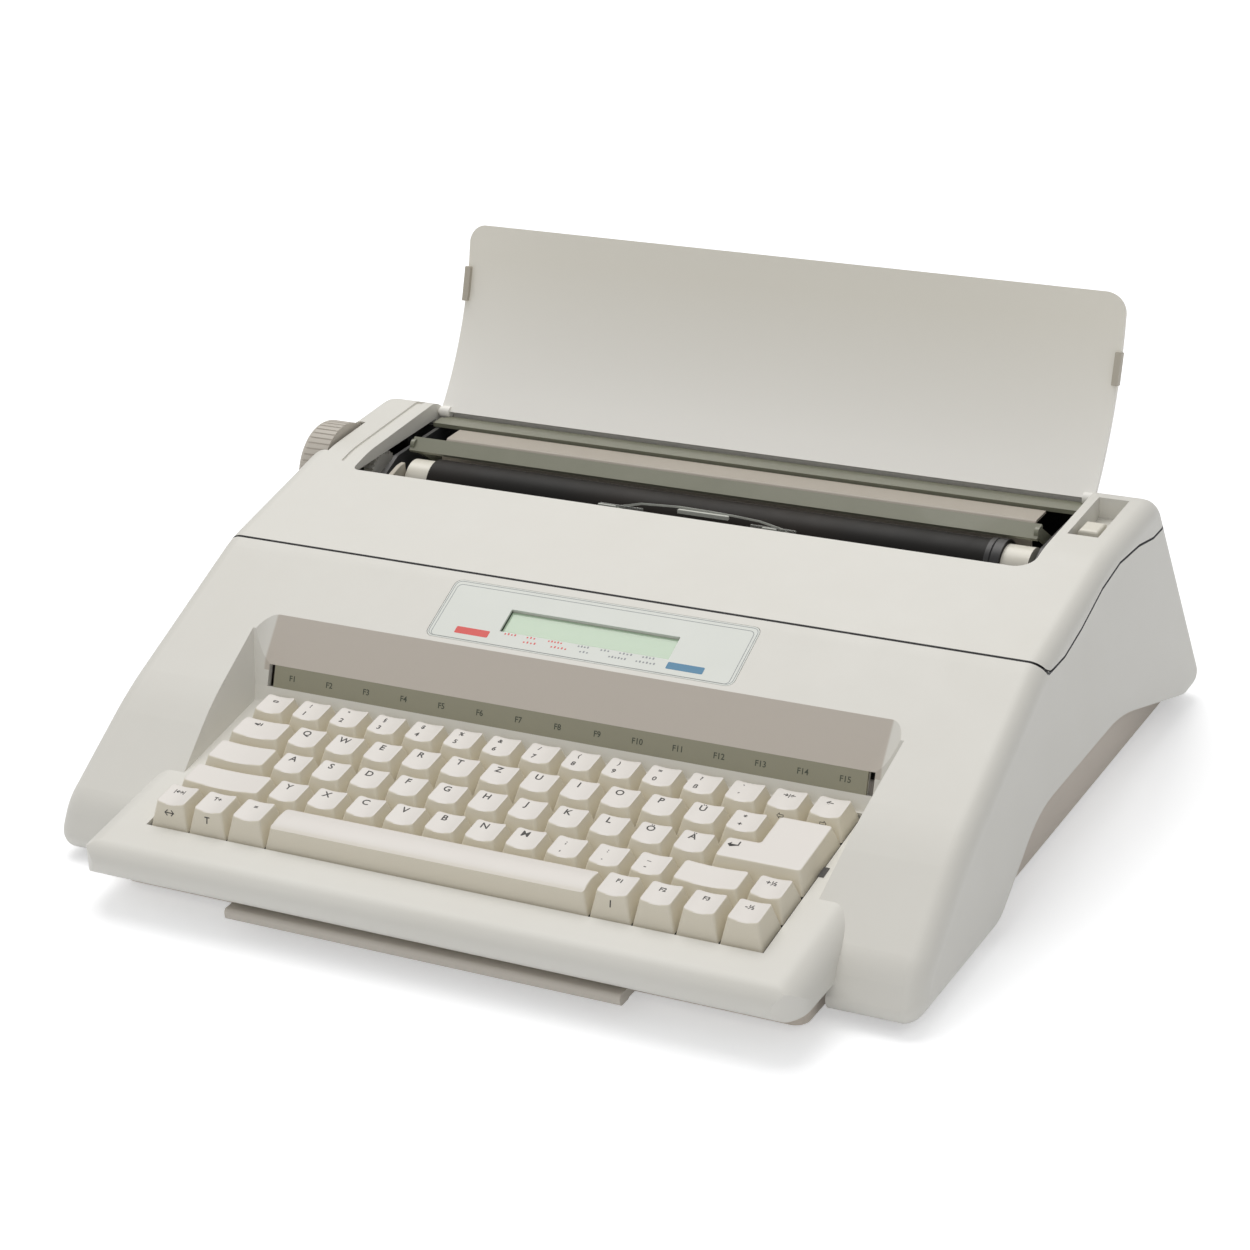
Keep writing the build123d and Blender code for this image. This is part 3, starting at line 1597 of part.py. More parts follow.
def power_switch():
    """Rocker switch on its own pins."""
    rocker = bar_x(switch_centre(), switch_radius, *switch_x)
    shift = polar(switch_centre(), 2.0 * switch_radius - 1.6, 24.8)
    hollow = bar_x(shift, switch_radius, switch_x[0] + 1.0, switch_x[1] - 1.0)
    pin_x = (switch_x[0] - switch_pin_length, switch_x[1] + switch_pin_length)
    pins = bar_x(switch_centre(), switch_pin_radius, *pin_x)
    return rocker - hollow + pins


def write_keys():
    """Every key node."""
    for node, keys in key_places().items():
        caps = [key_cap(*key) for key in keys]
        save(caps[0] if len(caps) == 1 else group(caps), node)
    save(return_key(), "return_key")


def main():
    """Write every node."""
    save(lower_housing(), "lower_housing")
    save(top_hood(), "top_hood")
    save(hood_hinge_pins(), "hood_hinge_pins")
    save(paper_support(), "paper_support")
    save(hinge_strip(), "hinge_strip")
    save(function_label_strip(), "function_label_strip")
    save(display_panel(), "display_panel")
    save(display_module(), "display_module")
    save(key_deck(), "key_deck")
    save(dome_sheet(), "dome_sheet")
    save(keyboard_board(), "keyboard_board")
    write_keys()
    save(platen_roller(), "platen_roller")
    save(platen_hubs(), "platen_hubs")
    save(platen_shaft(), "platen_shaft")
    save(platen_knob(), "platen_knob")
    first, second, third = gear_train()
    save(first, "platen_gear")
    save(second, "idler_gear")
    save(third, "motor_pinion")
    save(side_frame(-1), "left_side_frame")
    save(side_frame(1), "right_side_frame")
    save(guide_rods(), "guide_rods")
    save(carriage_frame(), "carriage_frame")
    save(print_wheel(), "print_wheel")
    save(print_hammer(), "print_hammer")
    save(ribbon_cassette(), "ribbon_cassette")
    save(card_holder(), "card_holder")
    save(drive_belt(), "drive_belt")
    save(belt_pulley(-belt_end_x), "drive_pulley")
    save(belt_pulley(belt_end_x), "idler_pulley")
    save(carriage_motor(), "carriage_motor")
    save(feed_rollers(), "feed_rollers")
    save(paper_table(), "paper_table")
    save(paper_bail(), "paper_bail")
    save(release_lever(), "release_lever")
    save(base_tray(), "base_tray")
    save(side_panels(), "side_panels")
    save(rubber_feet(), "rubber_feet")
    save(case_screws(), "case_screws")
    save(carry_handle(), "carry_handle")
    save(main_circuit_board(), "main_circuit_board")
    save(transformer(), "transformer")
    save(power_inlet(), "power_inlet")
    save(power_switch(), "power_switch")


main()
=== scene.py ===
"""Looks of a portable electronic typewriter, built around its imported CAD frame."""

import logging
import math
from collections.abc import Callable, Iterable
from dataclasses import dataclass, field
from enum import Enum

import bpy
from mathutils import Matrix, Vector


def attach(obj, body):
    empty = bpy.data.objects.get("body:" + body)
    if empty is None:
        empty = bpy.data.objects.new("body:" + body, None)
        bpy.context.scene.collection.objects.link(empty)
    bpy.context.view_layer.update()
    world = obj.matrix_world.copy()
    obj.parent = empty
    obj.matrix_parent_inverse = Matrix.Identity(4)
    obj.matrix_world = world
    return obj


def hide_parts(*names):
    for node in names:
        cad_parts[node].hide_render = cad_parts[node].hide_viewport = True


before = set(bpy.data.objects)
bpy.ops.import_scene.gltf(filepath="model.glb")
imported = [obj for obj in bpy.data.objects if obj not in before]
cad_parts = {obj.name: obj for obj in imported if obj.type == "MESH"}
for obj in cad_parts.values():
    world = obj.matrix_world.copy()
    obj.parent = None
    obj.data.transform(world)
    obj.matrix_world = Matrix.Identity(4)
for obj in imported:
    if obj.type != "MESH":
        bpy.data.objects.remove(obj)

LOG = logging.getLogger("typewriter")
MM = 0.001

Point2 = tuple[float, float]
Point3 = tuple[float, float, float]
Rect = tuple[float, float, float, float]
Colour = tuple[float, float, float]
Face = list[int]
Socket = bpy.types.NodeSocket
Value = float | Socket
Tint = Colour | Socket

DEEP_SHADE: Colour = (0.012, 0.012, 0.013)
DUST_COLOUR: Colour = (0.62, 0.58, 0.50)
WHITE: Colour = (1.0, 1.0, 1.0)

KEY_PITCH = 19.05
KEY_SLOPE = 8.0
KEY_FOOT: Point2 = (-160.0, 32.0)

CAPITAL_SHARE = 0.72
PRINT_DEPTH = 0.06
SMOOTH_ANGLE = 35.0
CAP_ANGLE = 50.0
PRINT_ANGLE = 20.0
TRIM_ANGLE = 30.0
EDGE_EASE = 0.25


class Pattern(Enum):
    """How the surface of a finish is worked."""

    MOULDED = "moulded"
    BRUSHED = "brushed"


class Zone(Enum):
    """Which places of a surface get painted light or shade."""

    NONE = "none"
    CASE = "case"
    KEYS = "keys"
    SUPPORT = "support"


# Surface effects


def add_socket(
    group: bpy.types.NodeTree,
    name: str,
    kind: str,
    output: bool = False,
    value: float | tuple[float, ...] | None = None,
) -> None:
    """Add one named socket to a node group.

    Args:
        group: The node group.
        name: The socket's name.
        kind: Float, Color or Vector.
        output: True for an output socket.
        value: The default value of an input.
    """
    side = "OUTPUT" if output else "INPUT"
    made = group.interface.new_socket(name=name, in_out=side, socket_type=f"NodeSocket{kind}")
    if value is not None:
        made.default_value = value


@dataclass
class Wiring:
    """Adds and links the nodes of one node tree."""

    tree: bpy.types.NodeTree

    def add(self, kind: str, **values: object) -> bpy.types.Node:
        """Add a node and set its properties.

        Args:
            kind: Blender's name for the kind of node.
            **values: The properties, by name.

        Returns:
            The node.
        """
        node = self.tree.nodes.new(kind)
        for name, value in values.items():
            setattr(node, name, value)
        return node

    def join(self, source: Socket, target: Socket) -> None:
        """Link an output to an input."""
        self.tree.links.new(source, target)

    def feed(self, value: Value | Colour, target: Socket) -> None:
        """Give an input a number or a colour, or link another socket to it.

        Args:
            value: The number, the colour or the other socket.
            target: The input.
        """
        if isinstance(value, (int, float)):
            target.default_value = value
        elif isinstance(value, tuple):
            target.default_value = (*value, 1.0)
        else:
            self.join(value, target)

    def fill(self, node: bpy.types.Node, inputs: dict[str, Value | Colour]) -> bpy.types.Node:
        """Feed several inputs of a node.

        Args:
            node: The node.
            inputs: What each input gets, by its name.

        Returns:
            The same node.
        """
        for name, value in inputs.items():
            self.feed(value, node.inputs[name])
        return node

    def noise(self, vector: Socket, scale: Value, detail: float = 3.0, roughness: float = 0.55) -> Socket:
        """A noise value.

        Args:
            vector: Socket with the coordinates.
            scale: Number, or a socket with the scale.
            detail: Noise detail.
            roughness: Noise roughness.

        Returns:
            The value socket.
        """
        node = self.add("ShaderNodeTexNoise")
        self.fill(node, {"Detail": detail, "Roughness": roughness, "Vector": vector, "Scale": scale})
        return node.outputs["Fac"]

    def ramp(self, value: Socket, low: float, high: float) -> Socket:
        """Map low..high of a value onto 0..1, clamped.

        Args:
            value: The value.
            low: What becomes 0.
            high: What becomes 1.

        Returns:
            The mapped value.
        """
        node = self.add("ShaderNodeMapRange", clamp=True)
        self.fill(node, {"From Min": low, "From Max": high, "Value": value})
        return node.outputs["Result"]

    def math(self, operation: str, first: Value, second: Value = 0.0) -> Socket:
        """A math node on sockets or numbers.

        Args:
            operation: Blender's name for the operation.
            first: The first value.
            second: The second value, for an operation that takes two.

        Returns:
            The result.
        """
        node = self.add("ShaderNodeMath", operation=operation)
        self.feed(first, node.inputs[0])
        self.feed(second, node.inputs[1])
        return node.outputs[0]

    def above(self, value: Socket, limit: float) -> Socket:
        """1 where a length is more than a limit in millimetres, 0 elsewhere."""
        return self.math("GREATER_THAN", value, limit * MM)

    def below(self, value: Socket, limit: float) -> Socket:
        """1 where a length is less than a limit in millimetres, 0 elsewhere."""
        return self.math("LESS_THAN", value, limit * MM)

    def product(self, *masks: Socket) -> Socket:
        """Multiply masks, so that only the places they share are left.

        Args:
            *masks: The masks.

        Returns:
            Their product.
        """
        result = masks[0]
        for mask in masks[1:]:
            result = self.math("MULTIPLY", result, mask)
        return result

    def split(self, vector: Socket) -> tuple[Socket, ...]:
        """The X, Y and Z of a vector.

        Args:
            vector: The vector.

        Returns:
            Its three parts.
        """
        node = self.add("ShaderNodeSeparateXYZ")
        self.join(vector, node.inputs[0])
        return tuple(node.outputs)

    def blend(self, factor: Socket, first: Tint, second: Tint) -> Socket:
        """Mix two colours.

        Args:
            factor: 0 for the first colour, 1 for the second.
            first: The first colour.
            second: The second colour.

        Returns:
            The mixed colour.
        """
        node = self.add("ShaderNodeMix", data_type="RGBA")
        self.join(factor, node.inputs["Factor"])
        for name, value in (("A", first), ("B", second)):
            self.feed(value, next(s for s in node.inputs if s.name == name and s.type == "RGBA"))
        return next(s for s in node.outputs if s.type == "RGBA")


@dataclass
class Effects:
    """Node groups that several finishes share."""

    drift_scale: float = 9.0
    drift_range: Point2 = (0.35, 0.75)
    gloss_scale: float = 60.0
    facing_up: Point2 = (0.2, 1.0)
    dust_scale: float = 26.0
    dust_range: Point2 = (0.35, 0.8)
    streak_stretch: Point3 = (6.0, 420.0, 420.0)
    streak_scale: float = 5.0
    streak_swing: float = 0.22
    grain: bpy.types.NodeTree = field(init=False)
    dust: bpy.types.NodeTree = field(init=False)
    streaks: bpy.types.NodeTree = field(init=False)

    def __post_init__(self) -> None:
        """Build every group once."""
        self.grain = self._grain()
        self.dust = self._dust()
        self.streaks = self._streaks()

    def _start(self, name: str) -> tuple[bpy.types.NodeTree, Wiring, bpy.types.Node, bpy.types.Node]:
        """An empty group with its input and output nodes.

        Args:
            name: The group's name.

        Returns:
            The group, its wiring, its input node and its output node.
        """
        group = bpy.data.node_groups.new(name, "ShaderNodeTree")
        wiring = Wiring(group)
        return group, wiring, wiring.add("NodeGroupInput"), wiring.add("NodeGroupOutput")

    def _grain(self) -> bpy.types.NodeTree:
        """Moulded plastic: faint colour drift, fine spark texture and uneven gloss.

        Returns:
            The group.
        """
        group, w, inside, out = self._start("moulded_grain")
        add_socket(group, "Vector", "Vector")
        add_socket(group, "Colour", "Color", value=(0.8, 0.8, 0.8, 1.0))
        add_socket(group, "Drift Colour", "Color", value=(0.7, 0.7, 0.7, 1.0))
        add_socket(group, "Drift", "Float", value=0.3)
        add_socket(group, "Grain Scale", "Float", value=1500.0)
        add_socket(group, "Roughness", "Float", value=0.5)
        add_socket(group, "Roughness Swing", "Float", value=0.1)
        add_socket(group, "Colour", "Color", output=True)
        add_socket(group, "Roughness", "Float", output=True)
        add_socket(group, "Height", "Float", output=True)
        given = inside.outputs
        drift = w.ramp(w.noise(given["Vector"], self.drift_scale, 4.0), *self.drift_range)
        amount = w.math("MULTIPLY", drift, given["Drift"])
        gloss = w.math("SUBTRACT", w.noise(given["Vector"], self.gloss_scale, 3.0), 0.5)
        swing = w.math("MULTIPLY", gloss, given["Roughness Swing"])
        w.fill(out, {
            "Colour": w.blend(amount, given["Colour"], given["Drift Colour"]),
            "Roughness": w.math("ADD", given["Roughness"], swing),
            "Height": w.noise(given["Vector"], given["Grain Scale"], 2.0),
        })
        return group

    def _dust(self) -> bpy.types.NodeTree:
        """A mask of fine, patchy dust on surfaces that face up.

        Returns:
            The group.
        """
        group, w, inside, out = self._start("upward_dust")
        add_socket(group, "Vector", "Vector")
        add_socket(group, "Normal", "Vector")
        add_socket(group, "Amount", "Float", value=0.2)
        add_socket(group, "Mask", "Float", output=True)
        given = inside.outputs
        up = w.ramp(w.split(given["Normal"])[2], *self.facing_up)
        patches = w.ramp(w.noise(given["Vector"], self.dust_scale, 5.0, 0.7), *self.dust_range)
        w.join(w.product(up, patches, given["Amount"]), out.inputs["Mask"])
        return group

    def _streaks(self) -> bpy.types.NodeTree:
        """Fine lines along X, as on ground or brushed metal.

        Returns:
            The group.
        """
        group, w, inside, out = self._start("brushed_streaks")
        add_socket(group, "Vector", "Vector")
        add_socket(group, "Roughness", "Float", value=0.3)
        add_socket(group, "Roughness", "Float", output=True)
        add_socket(group, "Height", "Float", output=True)
        given = inside.outputs
        stretch = w.add("ShaderNodeMapping")
        stretch.inputs["Scale"].default_value = self.streak_stretch
        w.join(given["Vector"], stretch.inputs["Vector"])
        lines = w.noise(stretch.outputs["Vector"], self.streak_scale, 4.0, 0.65)
        swing = w.math("MULTIPLY", w.math("SUBTRACT", lines, 0.5), self.streak_swing)
        w.fill(out, {"Roughness": w.math("ADD", given["Roughness"], swing), "Height": lines})
        return group


@dataclass(frozen=True)
class CaseZones:
    """Places of the case that get painted shade, in millimetres."""

    wall_facing: Point2 = (0.60, 0.72)
    wall_depth: Point2 = (-61.0, -40.5)
    wall_foot: float = 58.5
    wall_end: Point2 = (148.0, 149.0)
    seam: tuple[Point2, ...] = (
        (0.0, 89.75), (16.0, 89.75), (36.0, 93.75), (62.0, 101.25),
        (84.0, 104.25), (108.0, 102.75), (126.0, 99.25),
    )
    seam_top: float = 120.0
    seam_half: float = 0.62
    hood_front: float = -5.25
    hood_edge: float = 95.6
    hood_lean: float = 0.5
    front_half: float = 0.75
    front_depth: float = 3.0
    core: Point3 = (0.0, 60.0, 50.0)
    core_facing: float = 4.0
    inside_top: float = 98.5
    inside_front: float = -40.0

    def dress(
        self, w: Wiring, place: Socket, geometry: bpy.types.Node, colour: Socket, wall_shade_colour: Colour
    ) -> Socket:
        """Lay painted shade over the case's finish: the wall behind the keys, the seam gap and the faces
        inside.

        Args:
            w: Wiring of the material.
            place: Object coordinates.
            geometry: The geometry node.
            colour: Colour so far.
            wall_shade_colour: Painted shade colour of the wall behind the keys.

        Returns:
            The colour with its painted shade.
        """
        x, y, z = w.split(place)
        facing = w.split(geometry.outputs["Normal"])[1]
        # Painted shade: the wall behind the keys gets a darker colour.
        colour = w.blend(self.wall_shade_mask(w, (x, y, z), facing), colour, wall_shade_colour)
        colour = w.blend(self.seam_mask(w, y, z), colour, DEEP_SHADE)
        # Painted shade: faces that look into the case go near black.
        return w.blend(self.inside_shade_mask(w, place, geometry), colour, DEEP_SHADE)

    def wall_shade_mask(self, w: Wiring, place: tuple[Socket, ...], facing: Socket) -> Socket:
        """1 on the wall behind the keys, which gets painted shade, 0 elsewhere.

        Args:
            w: Wiring of the material.
            place: X, Y and Z of the object coordinates.
            facing: Y of the surface normal.

        Returns:
            The mask.
        """
        x, y, z = place
        front, back = self.wall_depth
        wall = w.ramp(w.math("MULTIPLY", facing, -1.0), *self.wall_facing)
        aside = w.ramp(w.math("ABSOLUTE", x), *(end * MM for end in self.wall_end))
        within = (w.above(y, front), w.below(y, back), w.above(z, self.wall_foot))
        return w.product(wall, *within, w.math("SUBTRACT", 1.0, aside))

    def seam_mask(self, w: Wiring, y: Socket, z: Socket) -> Socket:
        """1 within the thin gap between hood and case, where light can't reach.

        Args:
            w: Wiring of the material.
            y: Y of the object coordinates.
            z: Z of the object coordinates.

        Returns:
            The mask.
        """
        curve = w.add("ShaderNodeFloatCurve")
        line = curve.mapping.curves[0]
        length = self.seam[-1][0]
        line.points[0].location = (0.0, self.seam[0][1] / self.seam_top)
        line.points[1].location = (1.0, self.seam[-1][1] / self.seam_top)
        for along, up in self.seam[1:-1]:
            line.points.new(along / length, up / self.seam_top)
        for point in line.points:
            point.handle_type = "VECTOR"
        curve.mapping.update()
        w.join(w.ramp(y, 0.0, length * MM), curve.inputs["Value"])
        height = w.math("MULTIPLY", curve.outputs["Value"], self.seam_top * MM)
        away = w.math("ABSOLUTE", w.math("SUBTRACT", z, height))
        side = w.product(w.below(away, self.seam_half), w.above(y, self.hood_front + self.front_depth))
        lean = w.math("MULTIPLY", w.math("SUBTRACT", self.hood_edge * MM, z), self.hood_lean)
        ahead = w.math("SUBTRACT", w.math("SUBTRACT", y, self.hood_front * MM), lean)
        front = w.product(w.below(w.math("ABSOLUTE", ahead), self.front_half), w.above(z, self.seam[0][1]))
        return w.math("MAXIMUM", side, front)

    def inside_shade_mask(self, w: Wiring, place: Socket, geometry: bpy.types.Node) -> Socket:
        """1 on faces that look into the case, which get painted shade, 0 outside.

        Args:
            w: Wiring of the material.
            place: Object coordinates.
            geometry: The geometry node.

        Returns:
            The mask.
        """
        toward = w.add("ShaderNodeVectorMath", operation="SUBTRACT")
        toward.inputs[0].default_value = Vector(self.core) * MM
        w.join(place, toward.inputs[1])
        facing = w.add("ShaderNodeVectorMath", operation="DOT_PRODUCT")
        w.join(toward.outputs["Vector"], facing.inputs[0])
        w.join(geometry.outputs["True Normal"], facing.inputs[1])
        _, y, z = w.split(place)
        inward = w.above(facing.outputs["Value"], self.core_facing)
        return w.product(inward, w.below(z, self.inside_top), w.above(y, self.inside_front))


@dataclass(frozen=True)
class Finish:
    """One surface finish, as numbers."""

    name: str
    colour: Colour
    drift_colour: Colour
    pattern: Pattern = Pattern.MOULDED
    drift: float = 0.35
    roughness: float = 0.5
    swing: float = 0.12
    grain_scale: float = 1400.0
    bump: float = 0.06
    bump_depth: float = 0.00004
    dust: float = 0.10
    metallic: float = 0.0
    transmission: float = 0.0
    specular: float = 0.5
    coat: float = 0.0
    zone: Zone = Zone.NONE
    painted_light_colour: Colour = (0.5, 0.5, 0.5)
    zone_range: Point2 = (0.0, 1.0)

    def build(self, effects: Effects) -> bpy.types.Material:
        """Make the material.

        Args:
            effects: The shared node groups.

        Returns:
            The finished material.
        """
        material = bpy.data.materials.new(self.name)
        material.use_nodes = True
        material.node_tree.nodes.clear()
        w = Wiring(material.node_tree)
        output = w.add("ShaderNodeOutputMaterial")
        shader = w.add("ShaderNodeBsdfPrincipled")
        w.join(shader.outputs["BSDF"], output.inputs["Surface"])
        place = w.add("ShaderNodeTexCoord").outputs["Object"]
        geometry = w.add("ShaderNodeNewGeometry")
        grain = w.fill(w.add("ShaderNodeGroup", node_tree=effects.grain), {
            "Vector": place,
            "Colour": self.colour,
            "Drift Colour": self.drift_colour,
            "Drift": self.drift,
            "Grain Scale": self.grain_scale,
            "Roughness": self.roughness,
            "Roughness Swing": self.swing,
        })
        colour = grain.outputs["Colour"]
        if self.dust > 0:
            dust = w.fill(w.add("ShaderNodeGroup", node_tree=effects.dust), {
                "Vector": place, "Normal": geometry.outputs["Normal"], "Amount": self.dust,
            })
            colour = w.blend(dust.outputs["Mask"], colour, DUST_COLOUR)
        height, rough = grain.outputs["Height"], grain.outputs["Roughness"]
        if self.pattern is Pattern.BRUSHED:
            streaks = w.add("ShaderNodeGroup", node_tree=effects.streaks)
            w.fill(streaks, {"Vector": place, "Roughness": self.roughness})
            height, rough = streaks.outputs["Height"], streaks.outputs["Roughness"]
        bump = w.add("ShaderNodeBump")
        w.fill(bump, {"Strength": self.bump, "Distance": self.bump_depth, "Height": height})
        w.fill(shader, {
            "Base Color": self._zoned(w, place, geometry, colour),
            "Roughness": rough,
            "Normal": bump.outputs["Normal"],
            "Metallic": self.metallic,
            "Specular IOR Level": self.specular,
            "Transmission Weight": self.transmission,
            "Coat Weight": self.coat,
        })
        return material

    def _zoned(self, w: Wiring, place: Socket, geometry: bpy.types.Node, colour: Socket) -> Socket:
        """Lay the finish's painted light or shade.

        Args:
            w: Wiring of the material.
            place: Object coordinates.
            geometry: The geometry node.
            colour: Colour so far.

        Returns:
            The colour with its painted light or shade.
        """
        if self.zone is Zone.CASE:
            return CaseZones().dress(w, place, geometry, colour, self.painted_light_colour)
        if self.zone is Zone.KEYS:
            # Painted shade: key faces that don't face up, the sides, get a darker tan.
            facing_up = w.ramp(w.split(geometry.outputs["Normal"])[2], *self.zone_range)
            return w.blend(facing_up, self.painted_light_colour, colour)
        if self.zone is Zone.SUPPORT:
            # Painted light: the paper support is lighter towards its foot.
            height = w.ramp(w.split(place)[2], *self.zone_range)
            return w.blend(height, self.painted_light_colour, colour)
        return colour


FINISHES: tuple[Finish, ...] = (
    # The case gets painted shade: a darker wall behind the keys, a dark seam gap and dark faces inside.
    Finish(
        "case_cream", (0.760, 0.748, 0.700), (0.72, 0.70, 0.64), roughness=0.46,
        zone=Zone.CASE, painted_light_colour=(0.580, 0.530, 0.470),
    ),
    # The keys get painted shade: their sides are a darker tan.
    Finish(
        "key_cream", (0.800, 0.765, 0.725), (0.77, 0.73, 0.68), roughness=0.42, drift=0.25, dust=0.04,
        zone=Zone.KEYS, painted_light_colour=(0.760, 0.710, 0.590), zone_range=(0.78, 0.95),
    ),
    Finish("base_taupe", (0.700, 0.630, 0.550), (0.62, 0.56, 0.49), roughness=0.55),
    # The paper support gets painted light: lighter towards its foot.
    Finish(
        "support_beige", (0.900, 0.870, 0.780), (0.86, 0.83, 0.74), roughness=0.48, dust=0.03, drift=0.2,
        zone=Zone.SUPPORT, painted_light_colour=(0.970, 0.955, 0.910), zone_range=(0.112, 0.178),
    ),
    Finish("handle_beige", (0.560, 0.520, 0.460), (0.50, 0.46, 0.41), roughness=0.5),
    Finish("overlay_film", (0.700, 0.725, 0.680), (0.68, 0.705, 0.66), roughness=0.34, bump=0.02, dust=0.02),
    Finish("label_olive", (0.330, 0.318, 0.235), (0.30, 0.29, 0.215), roughness=0.42, bump=0.02, dust=0.03),
    Finish(
        "display_green", (0.450, 0.590, 0.430), (0.42, 0.56, 0.41),
        roughness=0.12, bump=0.0, dust=0.0, coat=0.4,
    ),
    # Dark print, also used as painted shade in the deck slots and the table notch.
    Finish("ink_and_shade_dark", (0.050, 0.048, 0.045), (0.07, 0.065, 0.06), roughness=0.6, dust=0.0),
    Finish("ink_grey", (0.30, 0.32, 0.33), (0.34, 0.35, 0.36), roughness=0.6, dust=0.0),
    Finish("ink_red", (0.720, 0.060, 0.050), (0.66, 0.07, 0.05), roughness=0.4, dust=0.0),
    Finish("ink_blue", (0.035, 0.200, 0.360), (0.04, 0.22, 0.38), roughness=0.4, dust=0.0),
    Finish("ink_olive_dark", (0.075, 0.085, 0.060), (0.09, 0.1, 0.07), roughness=0.5, dust=0.0),
    Finish(
        "platen_rubber", (0.008, 0.007, 0.006), (0.030, 0.020, 0.014),
        drift=0.7, roughness=0.5, swing=0.15, grain_scale=700.0, bump=0.12, dust=0.01, specular=0.22,
    ),
    Finish("hub_ivory", (0.800, 0.770, 0.680), (0.74, 0.70, 0.60), roughness=0.3),
    Finish("bracket_cream", (0.520, 0.480, 0.400), (0.46, 0.42, 0.35), roughness=0.5),
    # Grey of the card clips, also used as a painted highlight on the card guide's rim.
    Finish("clip_and_highlight_grey", (0.560, 0.575, 0.530), (0.50, 0.51, 0.47), roughness=0.4, dust=0.0),
    Finish("knob_greige", (0.560, 0.520, 0.460), (0.50, 0.46, 0.41), roughness=0.5),
    Finish("black_moulding", (0.022, 0.022, 0.024), (0.04, 0.04, 0.04), roughness=0.42, dust=0.06),
    Finish("gear_nylon", (0.760, 0.740, 0.680), (0.70, 0.68, 0.60), roughness=0.35),
    Finish(
        "ground_steel", (0.560, 0.560, 0.570), (0.46, 0.46, 0.47), Pattern.BRUSHED,
        metallic=1.0, roughness=0.26,
    ),
    Finish("black_steel", (0.035, 0.035, 0.038), (0.06, 0.06, 0.06), roughness=0.4),
    Finish("table_beige", (0.450, 0.405, 0.345), (0.42, 0.38, 0.32), roughness=0.38),
    Finish("bail_olive", (0.225, 0.228, 0.170), (0.19, 0.19, 0.145), roughness=0.34, coat=0.15),
    Finish("rubber_sheet", (0.300, 0.310, 0.330), (0.26, 0.27, 0.29), roughness=0.7),
    Finish("foot_rubber", (0.045, 0.045, 0.045), (0.07, 0.07, 0.07), roughness=0.75),
    Finish("board_green", (0.035, 0.150, 0.070), (0.03, 0.12, 0.06), roughness=0.3),
    Finish("core_brown", (0.090, 0.075, 0.065), (0.12, 0.09, 0.07), roughness=0.45),
    Finish(
        "clear_guide", (0.86, 0.87, 0.84), (0.80, 0.82, 0.78),
        roughness=0.08, transmission=0.85, dust=0.0, bump=0.0,
    ),
)

NODE_FINISH: dict[str, str] = {
    "lower_housing": "case_cream", "top_hood": "case_cream", "base_tray": "base_taupe",
    "paper_support": "support_beige", "display_panel": "overlay_film", "display_module": "display_green",
    "function_label_strip": "label_olive", "hood_hinge_pins": "ground_steel", "hinge_strip": "bail_olive",
    "key_deck": "black_moulding", "dome_sheet": "rubber_sheet", "keyboard_board": "board_green",
    "platen_roller": "platen_rubber", "platen_hubs": "hub_ivory", "platen_shaft": "ground_steel",
    "platen_knob": "knob_greige", "platen_gear": "gear_nylon", "idler_gear": "gear_nylon",
    "motor_pinion": "gear_nylon", "left_side_frame": "black_steel", "right_side_frame": "black_steel",
    "guide_rods": "ground_steel", "carriage_frame": "black_moulding", "print_wheel": "black_moulding",
    "print_hammer": "ground_steel", "ribbon_cassette": "black_moulding", "card_holder": "clear_guide",
    "drive_belt": "foot_rubber", "drive_pulley": "gear_nylon", "idler_pulley": "gear_nylon",
    "carriage_motor": "ground_steel", "feed_rollers": "foot_rubber", "paper_table": "table_beige",
    "paper_bail": "bail_olive", "release_lever": "hub_ivory", "rubber_feet": "foot_rubber",
    "case_screws": "ground_steel", "side_panels": "base_taupe", "carry_handle": "handle_beige",
    "main_circuit_board": "board_green", "transformer": "core_brown", "power_inlet": "black_moulding",
    "power_switch": "black_moulding",
}


class Paintbox:
    """All finishes, made once and given out by name."""

    def __init__(self) -> None:
        """Build the shared effects and every material."""
        effects = Effects()
        self.materials = {finish.name: finish.build(effects) for finish in FINISHES}

    def __getitem__(self, name: str) -> bpy.types.Material:
        """The material with this name."""
        return self.materials[name]

    def dress_nodes(self) -> None:
        """Give every CAD node its finish."""
        for node, finish in NODE_FINISH.items():
            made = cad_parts[node]
            made.data.materials.clear()
            made.data.materials.append(self.materials[finish])
            LOG.info("node %s wears %s", node, finish)


# Mesh helpers


def to_world(x: float, v: float, n: float) -> Vector:
    """A point of the tilted keyboard, in metres in the row frame.

    Args:
        x: Millimetres to the right.
        v: Millimetres up the slope from the front edge of the keys.
        n: Millimetres above the deck.

    Returns:
        The point.
    """
    slope = math.radians(KEY_SLOPE)
    y = KEY_FOOT[0] + v * math.cos(slope) - n * math.sin(slope)
    z = KEY_FOOT[1] + v * math.sin(slope) + n * math.cos(slope)
    return Vector((x, y, z)) * MM


def rectangle(left: float, low: float, right: float, high: float) -> list[Point2]:
    """Corners of a rectangle, anticlockwise.

    Args:
        left: Its left side.
        low: Its lower side.
        right: Its right side.
        high: Its upper side.

    Returns:
        The four corners.
    """
    return [(left, low), (right, low), (right, high), (left, high)]


